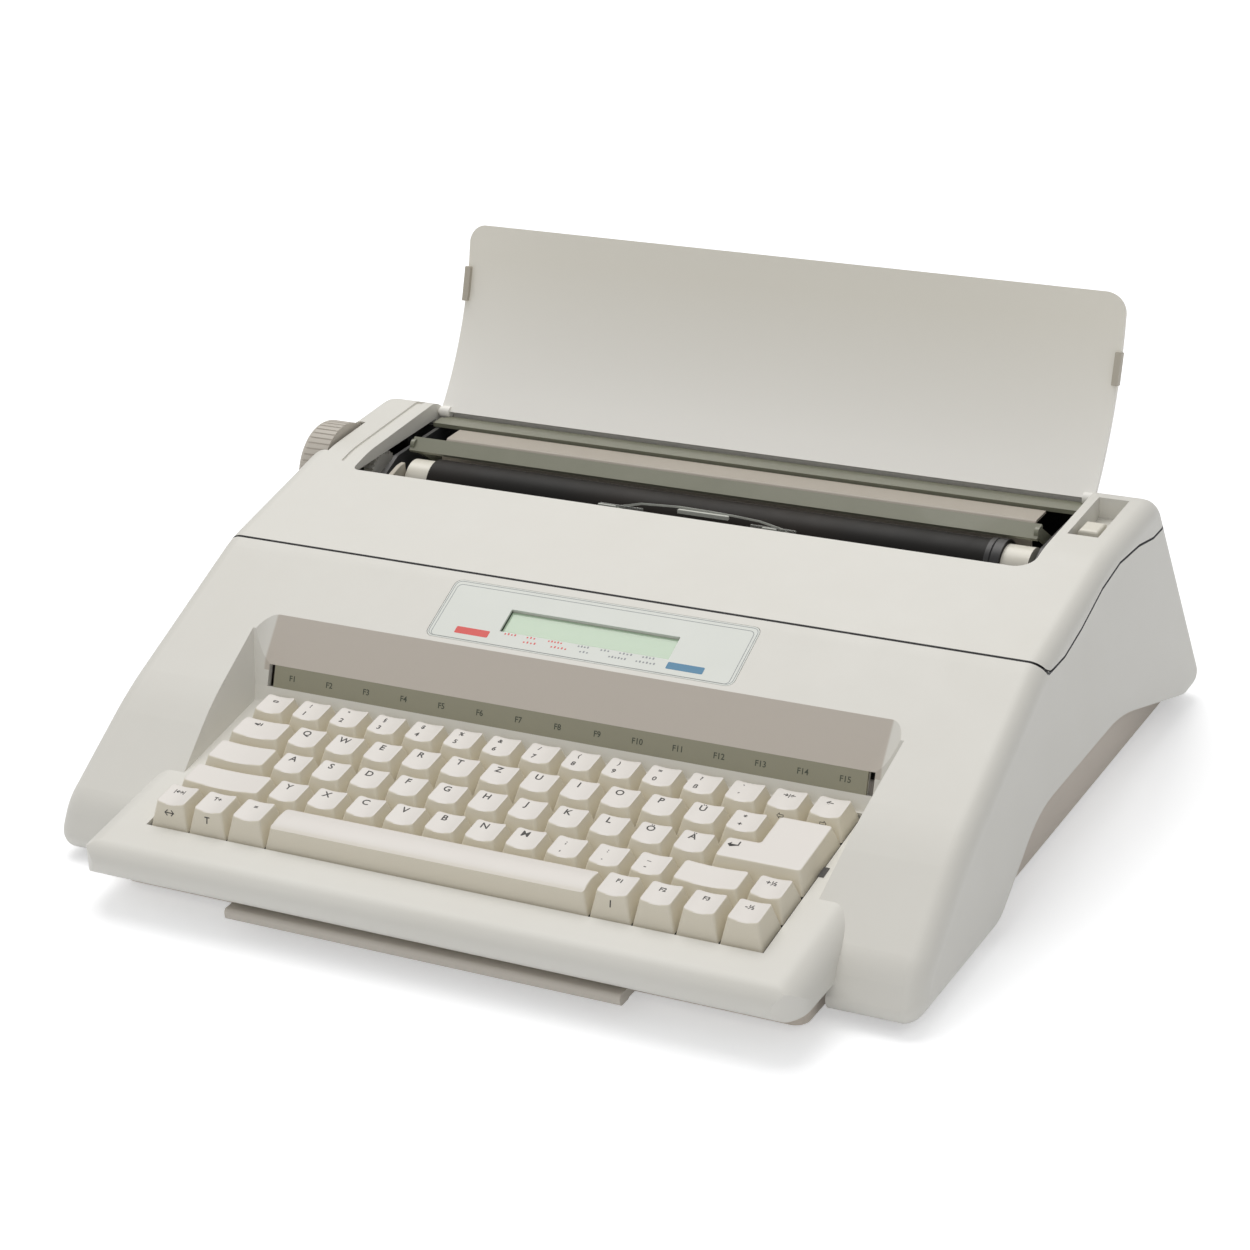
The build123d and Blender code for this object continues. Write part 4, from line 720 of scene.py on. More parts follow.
def make_object(
    name: str,
    points: Iterable[Vector],
    faces: list[Face],
    material: bpy.types.Material,
    smooth: float = SMOOTH_ANGLE,
) -> bpy.types.Object:
    """A mesh object from points and faces.

    Args:
        name: Piece name.
        points: Corner points in metres.
        faces: Index lists.
        material: The finish.
        smooth: Edges sharper than this many degrees stay crisp.

    Returns:
        The linked object.
    """
    mesh = bpy.data.meshes.new(name)
    mesh.from_pydata([tuple(p) for p in points], [], faces)
    mesh.validate()
    mesh.shade_smooth()
    mesh.set_sharp_from_angle(angle=math.radians(smooth))
    mesh.materials.append(material)
    made = bpy.data.objects.new(name, mesh)
    bpy.context.scene.collection.objects.link(made)
    return made


def inset(corners: list[Point2], amounts: list[float]) -> list[Point2]:
    """Move each edge of a right-angled outline inward.

    Args:
        corners: Corner points, anticlockwise.
        amounts: One distance per edge, edge i running from corner i to the next.

    Returns:
        The new corners.
    """
    count = len(corners)
    moved = []
    for i, (x, y) in enumerate(corners):
        for edge in ((i - 1) % count, i):
            ax, ay = corners[edge]
            bx, by = corners[(edge + 1) % count]
            length = math.hypot(bx - ax, by - ay)
            x -= (by - ay) / length * amounts[edge]
            y += (bx - ax) / length * amounts[edge]
        moved.append((x, y))
    return moved


def rounded_ring(corners: list[Point2], radius: float, arc: int = 4, run: int = 6) -> list[Point2]:
    """Points round a right-angled outline with rounded corners.

    Args:
        corners: Corner points, anticlockwise.
        radius: Corner radius.
        arc: Steps in each corner.
        run: Steps along each edge.

    Returns:
        The same number of points for any outline with as many corners.
    """
    count = len(corners)
    arcs = []
    for i, corner in enumerate(corners):
        here = Vector(corner)
        back = (Vector(corners[i - 1]) - here).normalized()
        ahead = (Vector(corners[(i + 1) % count]) - here).normalized()
        centre = here + (back + ahead) * radius
        arcs.append(
            [
                centre - ahead * radius * math.cos(a) - back * radius * math.sin(a)
                for a in (math.pi / 2 * k / arc for k in range(arc + 1))
            ]
        )
    ring = []
    for i, points in enumerate(arcs):
        ring += points
        start, end = points[-1], arcs[(i + 1) % count][0]
        ring += [start.lerp(end, k / run) for k in range(1, run)]
    return [(p.x, p.y) for p in ring]


def bridge(first: int, second: int, count: int) -> list[Face]:
    """Quads between two rings of equally many points.

    Args:
        first: Index of the first ring's first point.
        second: Index of the second ring's first point.
        count: Number of points in each ring.

    Returns:
        The faces.
    """
    quads = []
    for i in range(count):
        j = (i + 1) % count
        quads.append([first + i, first + j, second + j, second + i])
    return quads


def mirror_fill(first: int, count: int) -> list[Face]:
    """Close a four-cornered ring by joining its front points to its back points.

    Args:
        first: Index of the ring's first point.
        count: Number of points in the ring.

    Returns:
        The faces.
    """
    axis = count - 3
    faces = []
    for j in range(count // 2):
        near = [first + (axis + k) % count for k in (j, j + 1)]
        far = [first + (axis - k) % count for k in (j + 1, j)]
        faces.append(list(dict.fromkeys(near + far)))
    return faces


class Solid:
    """Collects points and faces of one piece."""

    def __init__(self) -> None:
        """Start empty."""
        self.points: list[Vector] = []
        self.faces: list[Face] = []

    def skin(self, rings: list[list[Vector]], closed: bool = False) -> list[int]:
        """Join a run of rings with quads.

        Args:
            rings: Rings of equally many points.
            closed: True to join the last ring to the first as well.

        Returns:
            The index of each ring's first point.
        """
        starts = []
        for ring in rings:
            starts.append(len(self.points))
            self.points += ring
        ahead = starts[1:] + starts[:1] if closed else starts[1:]
        for first, second in zip(starts, ahead):
            self.faces += bridge(first, second, len(rings[0]))
        return starts

    def loft(self, rings: list[list[Vector]]) -> None:
        """Join a run of rings and close it with flat ends.

        Args:
            rings: Rings of equally many points.
        """
        starts = self.skin(rings)
        count = len(rings[0])
        self.faces.append([starts[0] + i for i in range(count)][::-1])
        self.faces.append([starts[-1] + i for i in range(count)])

    def prism_x(self, outline: list[Point2], low: float, high: float) -> None:
        """Sweep an outline along X, with softened end edges, in millimetres.

        Args:
            outline: The (y, z) corners.
            low: X of the left end.
            high: X of the right end.
        """
        middle = Vector((sum(p[0] for p in outline), sum(p[1] for p in outline))) / len(outline)
        levels = ((low, EDGE_EASE), (low + EDGE_EASE, 0.0), (high - EDGE_EASE, 0.0), (high, EDGE_EASE))
        rings = []
        for x, shrink in levels:
            ring = []
            for y, z in outline:
                away = (Vector((y, z)) - middle).normalized() * shrink
                ring.append(Vector((x, y - away.x, z - away.y)) * MM)
            rings.append(ring)
        self.loft(rings)

    def letter(self, text: str, height: float, weight: float, spot: Callable[[Vector], Vector]) -> None:
        """Lay plain lettering on a surface.

        Args:
            text: The characters.
            height: Height of a capital, in millimetres.
            weight: How much the strokes are fattened, in millimetres.
            spot: Finds a point of the surface for one of the flat lettering.
        """
        points, faces = glyph(text, height, weight)
        start = len(self.points)
        self.points += [spot(point) for point in points]
        self.faces += [[start + i for i in face] for face in faces]

    def finish(self, name: str, material: bpy.types.Material, smooth: float) -> bpy.types.Object:
        """Turn the collected faces into an object.

        Args:
            name: Piece name.
            material: The finish.
            smooth: Edges sharper than this many degrees stay crisp.

        Returns:
            The object.
        """
        return make_object(name, self.points, self.faces, material, smooth)


def glyph(text: str, height: float, weight: float) -> tuple[list[Vector], list[Face]]:
    """A thin solid of plain lettering, centred on its own middle.

    Args:
        text: The characters.
        height: Height of a capital, in millimetres.
        weight: How much the strokes are fattened, in millimetres.

    Returns:
        Points in millimetres and faces.
    """
    curve = bpy.data.curves.new("glyph", "FONT")
    curve.body = text
    curve.size = height / CAPITAL_SHARE
    curve.extrude = PRINT_DEPTH / 2
    curve.offset = weight
    curve.resolution_u = 3
    curve.align_x = "CENTER"
    curve.align_y = "CENTER"
    holder = bpy.data.objects.new("glyph", curve)
    bpy.context.scene.collection.objects.link(holder)
    mesh = bpy.data.meshes.new_from_object(holder.evaluated_get(bpy.context.evaluated_depsgraph_get()))
    points = [vertex.co.copy() for vertex in mesh.vertices]
    faces = [list(polygon.vertices) for polygon in mesh.polygons]
    bpy.data.objects.remove(holder)
    bpy.data.curves.remove(curve)
    bpy.data.meshes.remove(mesh)
    return points, faces


# Keyboard


@dataclass(frozen=True)
class Mark:
    """One printed character on a key."""

    text: str
    x: float = -2.0
    v: float = 2.9
    height: float = 3.5


@dataclass(frozen=True)
class KeyShape:
    """Form of one kind of keycap, in millimetres."""

    height: float
    front: float
    side: float = 2.5
    back: float = 0.9
    dish: float = 0.85
    crown: float = 0.0


@dataclass(frozen=True)
class KeyTop:
    """The dished or crowned top of one keycap."""

    shape: KeyShape
    middle: tuple[float, ...]
    reach: tuple[float, ...]

    @classmethod
    def over(cls, head: list[Point2], shape: KeyShape) -> "KeyTop":
        """The top over an outline.

        Args:
            head: Outline of the cap's upper end.
            shape: The cap's form.

        Returns:
            The top.
        """
        spans = [(min(values), max(values)) for values in zip(*head)]
        middle = tuple((low + high) / 2 for low, high in spans)
        return cls(shape, middle, tuple((high - low) / 2 for low, high in spans))

    def level(self, x: float, v: float) -> float:
        """Height of the top at a point.

        Args:
            x: Millimetres to the right.
            v: Millimetres up the slope.

        Returns:
            Millimetres above the deck.
        """
        across = min(1.0, abs(x - self.middle[0]) / self.reach[0])
        along = min(1.0, abs(v - self.middle[1]) / self.reach[1])
        return self.shape.height - self.shape.dish * (1 - across**2) - self.shape.crown * along**2


@dataclass
class Keyboard:
    """Every keycap with its dished top and its printing, in millimetres."""

    paint: Paintbox
    gap: float = 0.7
    columns: float = 15.0
    bar_width: float = 5.0
    skirt: float = 1.6
    foot_radius: float = 0.9
    top_radius: float = 1.5
    least_radius: float = 0.35
    wall_shares: tuple[float, ...] = (0.0, 0.35, 0.7, 0.93, 0.98)
    edge_steps: Point2 = (0.18, 0.5)
    edge_drop: float = 0.05
    dish_steps: tuple[float, ...] = (1.5, 2.8, 4.2, 5.4)
    dish_rest: float = 0.7
    skirt_wall: float = 1.2
    head_wall: float = 0.8
    roof: float = 2.6
    hollow_radius: float = 0.5
    print_lift: float = 0.03
    print_weight: float = 0.07
    front_height: float = 3.0
    front_weight: float = 0.05
    front_lift: float = 0.04
    front_share: float = 0.62
    arrow_spot: Point2 = (6.6, 13.0)
    plain: KeyShape = KeyShape(7.4, 4.9)
    front_row: KeyShape = KeyShape(9.6, 4.1)
    bar: KeyShape = KeyShape(9.0, 3.6, dish=0.0, crown=1.1)

    def build(self) -> None:
        """Build every key node's caps and printing."""
        pairs = zip("1234567890ß´", "!\"§$%&/()=?`")
        numbers = [[Mark(a, -2.4, -2.6, 2.7), Mark(b, -2.4, 3.2, 2.3)] for a, b in pairs]
        upper = [[Mark(c)] for c in "QWERTZUIOPÜ"]
        upper += [[Mark("+", -2.0, -2.4, 2.6), Mark("*", -2.0, 2.6, 2.6)]]
        home = [[Mark(c)] for c in "ASDFGHJKLÖÄ"]
        lower = [[Mark(c)] for c in "YXCVBNM"]
        lower += [[Mark(a, -2.0, -2.2, 2.6), Mark(b, -2.0, 2.8, 2.4)] for a, b in zip(",.-", ";:_")]
        sizes = (("|↔|", 2.0), ("T+", 2.3), ("=", 2.4))
        left = [[Mark(text, -0.8, 2.6, height)] for text, height in sizes]
        right = [[Mark(text, -0.8, 2.6, 2.3)] for text in ("F1", "F2", "F3")]
        self.row("code_key", 0, 4, 1, [[Mark("«»", -1.0, 2.4, 2.2)]])
        self.row("number_keys", 1, 4, 1, numbers)
        self.row("relocate_key", 13, 4, 1, [[Mark("→|←", -0.4, 2.9, 2.0)]], "⇦")
        self.row("backspace_key", 14, 4, 1, [[Mark("←", -1.4, 2.9, 2.8)]], "⇨")
        self.row("tab_key", 0, 3, 1.5, [[Mark("⇥", -3.4, 2.9, 3.2)]])
        self.row("upper_letter_keys", 1.5, 3, 1, upper)
        self.row("caps_lock_key", 0, 2, 1.75, [[]])
        self.row("home_letter_keys", 1.75, 2, 1, home)
        self.row("left_shift_key", 0, 1, 2.25, [[]])
        self.row("lower_letter_keys", 2.25, 1, 1, lower)
        self.row("right_shift_key", 12.25, 1, 1.75, [[]])
        self.row("line_up_key", 14, 1, 1, [[Mark("+½", -1.0, 2.7, 2.6)]])
        self.row("left_function_keys", 0, 0, 1, left, "↔T")
        self.row("space_bar", 3, 0, 8, [[]])
        self.row("right_function_keys", 11, 0, 1, right, "1")
        self.row("line_down_key", 14, 0, 1, [[Mark("-½", -1.0, 2.7, 2.6)]])
        self.return_key()

    def left(self, column: float) -> float:
        """Left side of a key that starts at a column."""
        return (column - self.columns / 2) * KEY_PITCH + self.gap / 2

    def row(
        self, node: str, column: float, row: int, width: float, marks: list[list[Mark]], fronts: str = ""
    ) -> None:
        """Caps of one node, side by side.

        Args:
            node: The CAD node that the caps stand for.
            column: First column, in key pitches.
            row: Row, counted from the front.
            width: Width of each key, in key pitches.
            marks: Printing of each key.
            fronts: One character for the front face of each key, as far as it goes.
        """
        caps, prints = Solid(), Solid()
        shape = self.front_row if row == 0 else self.plain
        if width > self.bar_width:
            shape = self.bar
        for i, printed in enumerate(marks):
            low = self.left(column + i * width)
            high = low + width * KEY_PITCH - self.gap
            front = row * KEY_PITCH + self.gap / 2
            corners = rectangle(low, front, high, front + KEY_PITCH - self.gap)
            top = self.cap(caps, corners, [shape.front, shape.side, shape.back, shape.side], shape)
            for mark in printed:
                self.print_mark(prints, mark, top.middle, top)
            if i < len(fronts):
                self.print_front(prints, fronts[i], top, front)
        self.place(node, caps, prints)

    def place(self, node: str, caps: Solid, prints: Solid) -> None:
        """Turn collected caps and printing into riding pieces.

        Args:
            node: The CAD node that the caps stand for.
            caps: The caps.
            prints: Their printing, which may be empty.
        """
        body = node + "_body"
        made = caps.finish(node + "_caps", self.paint["key_cream"], CAP_ANGLE)
        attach(made, body)
        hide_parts(node)
        if prints.points:
            ink = prints.finish(node + "_printing", self.paint["ink_and_shade_dark"], PRINT_ANGLE)
            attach(ink, body)
        LOG.info("piece %s on %s", made.name, body)

    def cap(self, solid: Solid, corners: list[Point2], tapers: list[float], shape: KeyShape) -> KeyTop:
        """One hollow keycap.

        Args:
            solid: Collects the faces.
            corners: Foot outline.
            tapers: How far each side leans in by the top.
            shape: The cap's form.

        Returns:
            The cap's top.
        """
        count = len(corners)
        rise = shape.height + self.skirt
        head = inset(corners, tapers)
        top = KeyTop.over(head, shape)
        foot_ring = rounded_ring(corners, self.foot_radius)
        head_ring = rounded_ring(head, self.top_radius)
        rings = []
        for share in self.wall_shares:
            ring = []
            for (fx, fv), (hx, hv) in zip(foot_ring, head_ring):
                n = -self.skirt + share * (top.level(hx, hv) + self.skirt)
                t = (n + self.skirt) / rise
                ring.append(to_world(fx + (hx - fx) * t, fv + (hv - fv) * t, n))
            rings.append(ring)
        smallest = min(abs(head[1][0] - head[0][0]), abs(head[2][1] - head[1][1])) / 2
        steps = [*self.edge_steps, *(d for d in self.dish_steps if d < smallest - self.dish_rest)]
        for i, step in enumerate(steps):
            drop = self.edge_drop if i == 0 else 0.0
            flat = rounded_ring(inset(head, [step] * count), max(self.least_radius, self.top_radius - step))
            rings.append([to_world(x, v, top.level(x, v) - drop) for x, v in flat])
        ceiling = shape.height - self.roof
        hollow = []
        for outline, wall, n in ((head, self.head_wall, ceiling), (corners, self.skirt_wall, -self.skirt)):
            ring = rounded_ring(inset(outline, [wall] * count), self.hollow_radius)
            hollow.append([to_world(x, v, n) for x, v in ring])
        solid.loft(hollow + rings)
        if count == 4:
            last = len(rings[-1])
            solid.faces.pop()
            solid.faces += mirror_fill(len(solid.points) - last, last)
        return top

    def print_mark(self, solid: Solid, mark: Mark, at: tuple[float, ...], top: KeyTop) -> None:
        """Lay one printed character on a key's top.

        Args:
            solid: Collects the faces.
            mark: The character.
            at: The point that the mark's own place is counted from.
            top: The key's top.
        """

        def spot(p: Vector) -> Vector:
            """Bend a point of the flat character onto the top."""
            x, v = at[0] + mark.x + p.x, at[1] + mark.v + p.y
            return to_world(x, v, top.level(x, v) + self.print_lift + p.z)

        solid.letter(mark.text, mark.height, self.print_weight, spot)

    def print_front(self, solid: Solid, text: str, top: KeyTop, front: float) -> None:
        """Lay one printed character on a key's sloping front face.

        Args:
            solid: Collects the faces.
            text: The character.
            top: The key's top.
            front: Front edge of the key's foot.
        """
        rise = top.shape.height + self.skirt
        lean = top.shape.front
        reach = math.hypot(rise, lean)

        def spot(p: Vector) -> Vector:
            """Bend a point of the flat character onto the front face.

            Args:
                p: The point, in millimetres.

            Returns:
                Its place in metres in the row frame.
            """
            up = (reach * self.front_share + p.y) / reach
            out = (self.front_lift + p.z) / reach
            v = front + up * lean - out * rise
            return to_world(top.middle[0] + p.x, v, up * rise - self.skirt + out * lean)

        solid.letter(text, self.front_height, self.front_weight, spot)

    def return_key(self) -> None:
        """The reversed-L key over two rows."""
        shape = self.plain
        flat = KeyShape(shape.height, shape.front, dish=0.0)
        low, step = self.left(12.75), self.left(13.5)
        high = self.left(15) - self.gap
        front = 2 * KEY_PITCH + self.gap / 2
        ledge = 3 * KEY_PITCH - self.gap / 2
        back = 4 * KEY_PITCH - self.gap / 2
        corners = [(low, front), (high, front), (high, back), (step, back), (step, ledge), (low, ledge)]
        tapers = [shape.front, shape.side, shape.back, shape.side, shape.back, shape.side]
        caps, prints = Solid(), Solid()
        top = self.cap(caps, corners, tapers, flat)
        at = (low + self.arrow_spot[0], front + self.arrow_spot[1])
        self.print_mark(prints, Mark("↵", 0.0, 0.0, 4.4), at, top)
        self.place("return_key", caps, prints)


# Display and labels


@dataclass
class DisplayPrinting:
    """Printed lines and labels on the display overlay and the label strip, in millimetres."""

    paint: Paintbox
    slope: float = 24.0
    foot: Point2 = (-93.0, 56.6)
    front: float = -40.7
    back: float = -9.9
    half_width: float = 74.3
    margin: float = 0.6
    inner_margin: Point2 = (2.0, 2.4)
    outline_radii: Point2 = (3.0, 2.4)
    line_width: float = 0.28
    sink: float = -0.02
    lift: float = 0.03
    label_radius: float = 0.5
    red_label: Rect = (-61.5, -13.0, -45.0, -9.2)
    blue_label: Rect = (41.5, -13.2, 58.8, -9.4)
    red_runs: tuple[Point3, ...] = (
        (-38.0, 6.5, -9.6), (-27.0, 5.0, -9.6), (-16.5, 7.5, -9.6),
        (-27.5, 7.0, -12.4), (-14.0, 8.5, -12.4),
    )
    grey_runs: tuple[Point3, ...] = (
        (-2.0, 6.0, -9.6), (9.0, 5.0, -9.6), (18.0, 7.0, -9.6), (29.0, 6.5, -9.6),
        (0.0, 5.0, -12.4), (14.0, 9.0, -12.4), (27.0, 10.0, -12.4),
    )
    tick_pitch: float = 1.6
    tick_width: float = 0.75
    tick_heights: Point2 = (0.8, 1.1)
    tick_radius: float = 0.12
    strip_low: Point2 = (-60.8, 51.8)
    strip_high: Point2 = (-57.3, 61.0)
    strip_count: int = 15
    strip_height: float = 2.6
    strip_weight: float = 0.05

    def on_panel(self, x: float, s: float, n: float) -> Vector:
        """A point on the display slope, in metres in the row frame.

        Args:
            x: Millimetres to the right.
            s: Millimetres up the slope from the overlay's middle.
            n: Millimetres above the slope.

        Returns:
            The point.
        """
        angle = math.radians(self.slope)
        run, rise = math.cos(angle), math.sin(angle)
        y = (self.front + self.back) / 2
        z = self.foot[1] + (y - self.foot[0]) * math.tan(angle)
        return Vector((x, y + s * run - n * rise, z + s * rise + n * run)) * MM

    def patch(self, solid: Solid, corners: list[Point2], radius: float) -> None:
        """A thin printed patch with rounded corners.

        Args:
            solid: Collects the faces.
            corners: Corner points on the slope.
            radius: Corner radius.
        """
        ring = rounded_ring(corners, radius, 3, 1)
        solid.loft([[self.on_panel(x, s, n) for x, s in ring] for n in (self.sink, self.lift)])

    def border(self, solid: Solid, corners: list[Point2], radius: float) -> None:
        """A thin printed outline.

        Args:
            solid: Collects the faces.
            corners: Corner points of its outer edge.
            radius: Corner radius of its outer edge.
        """
        outer = rounded_ring(corners, radius, 5, 1)
        inner = rounded_ring(inset(corners, [self.line_width] * 4), radius - self.line_width, 5, 1)
        edges = ((outer, self.sink), (outer, self.lift), (inner, self.lift), (inner, self.sink))
        solid.skin([[self.on_panel(x, s, n) for x, s in ring] for ring, n in edges], closed=True)

    def build(self) -> None:
        """Build every printed piece."""
        self.outline()
        for name, label, finish in (
            ("red_label", self.red_label, "ink_red"), ("blue_label", self.blue_label, "ink_blue"),
        ):
            solid = Solid()
            self.patch(solid, rectangle(*label), self.label_radius)
            self.keep(solid, name, finish, "overlay_film")
        for name, runs, finish in (
            ("red_scale_marks", self.red_runs, "ink_red"), ("grey_scale_marks", self.grey_runs, "ink_grey"),
        ):
            solid = Solid()
            for x, width, s in runs:
                self.dashes(solid, x, width, s)
            self.keep(solid, name, finish, "overlay_film")
        self.strip_numbers()

    def outline(self) -> None:
        """Two printed outlines along the overlay's edge."""
        reach = (self.back - self.front) / 2 / math.cos(math.radians(self.slope))
        low = self.margin - reach
        solid = Solid()
        margins = ((self.margin, self.margin), self.inner_margin)
        for (side, upper), radius in zip(margins, self.outline_radii):
            half = self.half_width - side
            self.border(solid, rectangle(-half, low, half, reach - upper), radius)
        self.keep(solid, "overlay_outline", "ink_grey", "label_film")

    def dashes(self, solid: Solid, x: float, width: float, s: float) -> None:
        """A short run of small printed ticks.

        Args:
            solid: Collects the faces.
            x: Left end of the run.
            width: Length of the run.
            s: Foot of the ticks, up the slope.
        """
        count = max(2, round(width / self.tick_pitch))
        for i in range(count):
            left = x + i * width / count
            tick = rectangle(left, s, left + self.tick_width, s + self.tick_heights[i % 2])
            self.patch(solid, tick, self.tick_radius)

    def strip_numbers(self) -> None:
        """Plain numbers along the strip behind the number keys."""
        low, high = Vector(self.strip_low), Vector(self.strip_high)
        rise = (high - low).normalized()
        out = Vector((-rise.y, rise.x))
        middle = (low + high) / 2
        solid = Solid()
        for i in range(self.strip_count):
            x = (i - self.strip_count // 2) * KEY_PITCH

            def spot(p: Vector, x: float = x) -> Vector:
                """Bend a point of the flat lettering onto the strip."""
                y, z = middle + rise * p.y + out * (self.lift + p.z)
                return Vector((x + p.x, y, z)) * MM

            solid.letter(f"F{i + 1}", self.strip_height, self.strip_weight, spot)
        self.keep(solid, "strip_numbers", "ink_olive_dark", "black_plastic")

    def keep(self, solid: Solid, name: str, finish: str, slot: str) -> None:
        """Turn printing into a piece that rides on the case.

        Args:
            solid: The collected faces.
            name: Piece name.
            finish: Name of its finish.
            slot: Not used.
        """
        made = solid.finish(name, self.paint[finish], PRINT_ANGLE)
        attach(made, "base")
        LOG.info("piece %s", name)


# Small trim


@dataclass
class Trim:
    """Small visible fittings round the platen, the card guide and the paper support, with painted shade in a
    few gaps and a painted highlight on the card guide's rim, in millimetres.
    """

    paint: Paintbox
    axis: Point2 = (86.5, 93.0)
    collar_profile: tuple[Point2, ...] = (
        (139.2, 11.0), (139.2, 12.7), (141.4, 12.7), (141.8, 12.3),
        (142.2, 12.7), (146.3, 12.7), (146.3, 11.0),
    )
    collar_steps: int = 48
    bracket: tuple[Point2, ...] = ((62.0, 101.0), (76.0, 94.0), (80.5, 94.0), (80.5, 104.5), (76.0, 104.5))
    bracket_ends: Point2 = (-157.0, -154.6)
    clip: Rect = (68.6, 92.0, 69.6, 103.4)
    clip_ends: tuple[Point2, ...] = ((-45.5, -36.5), (37.0, 44.0))
    card_rail: Rect = (69.0, 104.2, 70.4, 106.0)
    card_rail_ends: Point2 = (-5.0, 20.4)
    guide_arch: tuple[Point2, ...] = (
        (-47.0, 97.0), (-41.0, 100.8), (-33.7, 103.2), (-24.8, 105.4), (-5.0, 106.6), (10.0, 106.4),
        (22.0, 106.0), (35.0, 105.2), (47.4, 102.6), (52.0, 99.4), (54.0, 96.1),
    )
    rim_shrink: float = 0.985
    rim_width: float = 0.9
    rim_faces: Point2 = (71.9, 71.7)
    lug_ends: tuple[Point2, ...] = ((-168.4, -165.4), (165.4, 168.4))
    lug_runs: tuple[Rect, ...] = ((167.0, 155.9, 172.6, 171.7), (165.6, 152.5, 171.0, 166.3))
    lug_front: Point2 = (-1.9, 0.4)
    lug_back: Point2 = (1.5, -0.6)
    slots: tuple[Rect, ...] = (
        (143.3, 51.0, 2.6, 6.5), (-145.3, 69.5, 1.6, 3.0),
        (-145.3, 50.0, 1.6, 3.0), (-145.3, 30.5, 1.6, 3.5),
    )
    slot_faces: Point2 = (0.05, 0.25)
    notch_middle: Point2 = (142.5, 103.2)
    notch_reach: Point2 = (3.0, 2.9)
    notch_steps: int = 12
    notch_faces: Point2 = (105.96, 105.7)
    ledge: Rect = (133.5, 105.0, 136.2, 107.0)
    ledge_ends: Point2 = (-164.0, 164.0)

    def keep(self, solid: Solid, name: str, finish: str, body: str, slot: str = "black_plastic") -> None:
        """Turn collected faces into a riding piece.

        Args:
            solid: The collected faces.
            name: Piece name.
            finish: Name of its finish.
            body: The body it rides on.
            slot: Not used.
        """
        made = solid.finish(name, self.paint[finish], TRIM_ANGLE)
        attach(made, body)
        LOG.info("piece %s on %s", name, body)

    def build(self) -> None:
        """Build every fitting."""
        self.make_collar()
        self.make_bracket()
        self.make_card_clips()
        self.make_card_rim_highlight()
        self.make_support_lugs()
        self.make_deck_slots()
        self.make_table_notch()
        self.make_hinge_ledge()

    def make_collar(self) -> None:
        """Black grooved collar at the right end of the roller."""
        y, z = self.axis
        turns = [2 * math.pi * k / self.collar_steps for k in range(self.collar_steps)]
        solid = Solid()
        solid.skin(
            [
                [Vector((x, y + radius * math.cos(a), z + radius * math.sin(a))) * MM for a in turns]
                for x, radius in self.collar_profile
            ],
            closed=True,
        )
        self.keep(solid, "platen_collar", "black_moulding", "platen")

    def make_bracket(self) -> None:
        """Bent bearing bracket beside the left end of the roller."""
        solid = Solid()
        solid.prism_x(list(self.bracket), *self.bracket_ends)
        self.keep(solid, "bearing_bracket", "bracket_cream", "base")

    def make_card_clips(self) -> None:
        """Two pale clips and the short rail of the card guide."""
        solid = Solid()
        for low, high in self.clip_ends:
            solid.prism_x(rectangle(*self.clip), low, high)
        solid.prism_x(rectangle(*self.card_rail), *self.card_rail_ends)
        self.keep(solid, "card_clips", "clip_and_highlight_grey", "carriage")

    def make_card_rim_highlight(self) -> None:
        """Painted highlight: grey strips along the rim of the clear card guide."""
        solid = Solid()
        arch = self.guide_arch
        under = [(x * self.rim_shrink, z - self.rim_width) for x, z in arch]
        for first, second, low_first, low_second in zip(arch, arch[1:], under, under[1:]):
            ring = (low_first, low_second, second, first)
            solid.loft([[Vector((x, y, z)) * MM for x, z in ring] for y in self.rim_faces])
        self.keep(solid, "card_guide_rim_highlight", "clip_and_highlight_grey", "carriage", "clear_card")

    def make_support_lugs(self) -> None:
        """Small lugs on the side edges of the paper support."""
        solid = Solid()
        (front_y, front_z), (back_y, back_z) = self.lug_front, self.lug_back
        for (low, high), (y0, z0, y1, z1) in zip(self.lug_ends, self.lug_runs):
            foot = [(y0 + front_y, z0 + front_z), (y0 + back_y, z0 + back_z)]
            head = [(y1 + back_y, z1 + back_z), (y1 + front_y, z1 + front_z)]
            solid.prism_x(foot + head, low, high)
        self.keep(solid, "support_lugs", "bracket_cream", "support", "support_plastic")

    def make_deck_slots(self) -> None:
        """Painted shade: dark patches in the gaps of the key deck at the ends of its rows."""
        solid = Solid()
        for x, v, wide, deep in self.slots:
            ring = rectangle(x, v, x + wide, v + deep)
            solid.loft([[to_world(a, b, n) for a, b in ring] for n in self.slot_faces])
        self.keep(solid, "deck_slot_shade", "ink_and_shade_dark", "base")

    def make_table_notch(self) -> None:
        """Painted shade: a half-round dark patch in the notch of the paper table."""
        solid = Solid()
        turns = [math.pi * k / self.notch_steps for k in range(self.notch_steps + 1)]
        (x, z), (wide, tall) = self.notch_middle, self.notch_reach
        solid.loft(
            [
                [Vector((x + wide * math.cos(a), y, z + tall * math.sin(a))) * MM for a in turns]
                for y in self.notch_faces
            ]
        )
        self.keep(solid, "table_notch_shade", "ink_and_shade_dark", "base")

    def make_hinge_ledge(self) -> None:
        """Olive ledge between the hinge strip and the foot of the paper support."""
        solid = Solid()
        solid.prism_x(rectangle(*self.ledge), *self.ledge_ends)
        self.keep(solid, "hinge_ledge", "bail_olive", "base")


# Stage


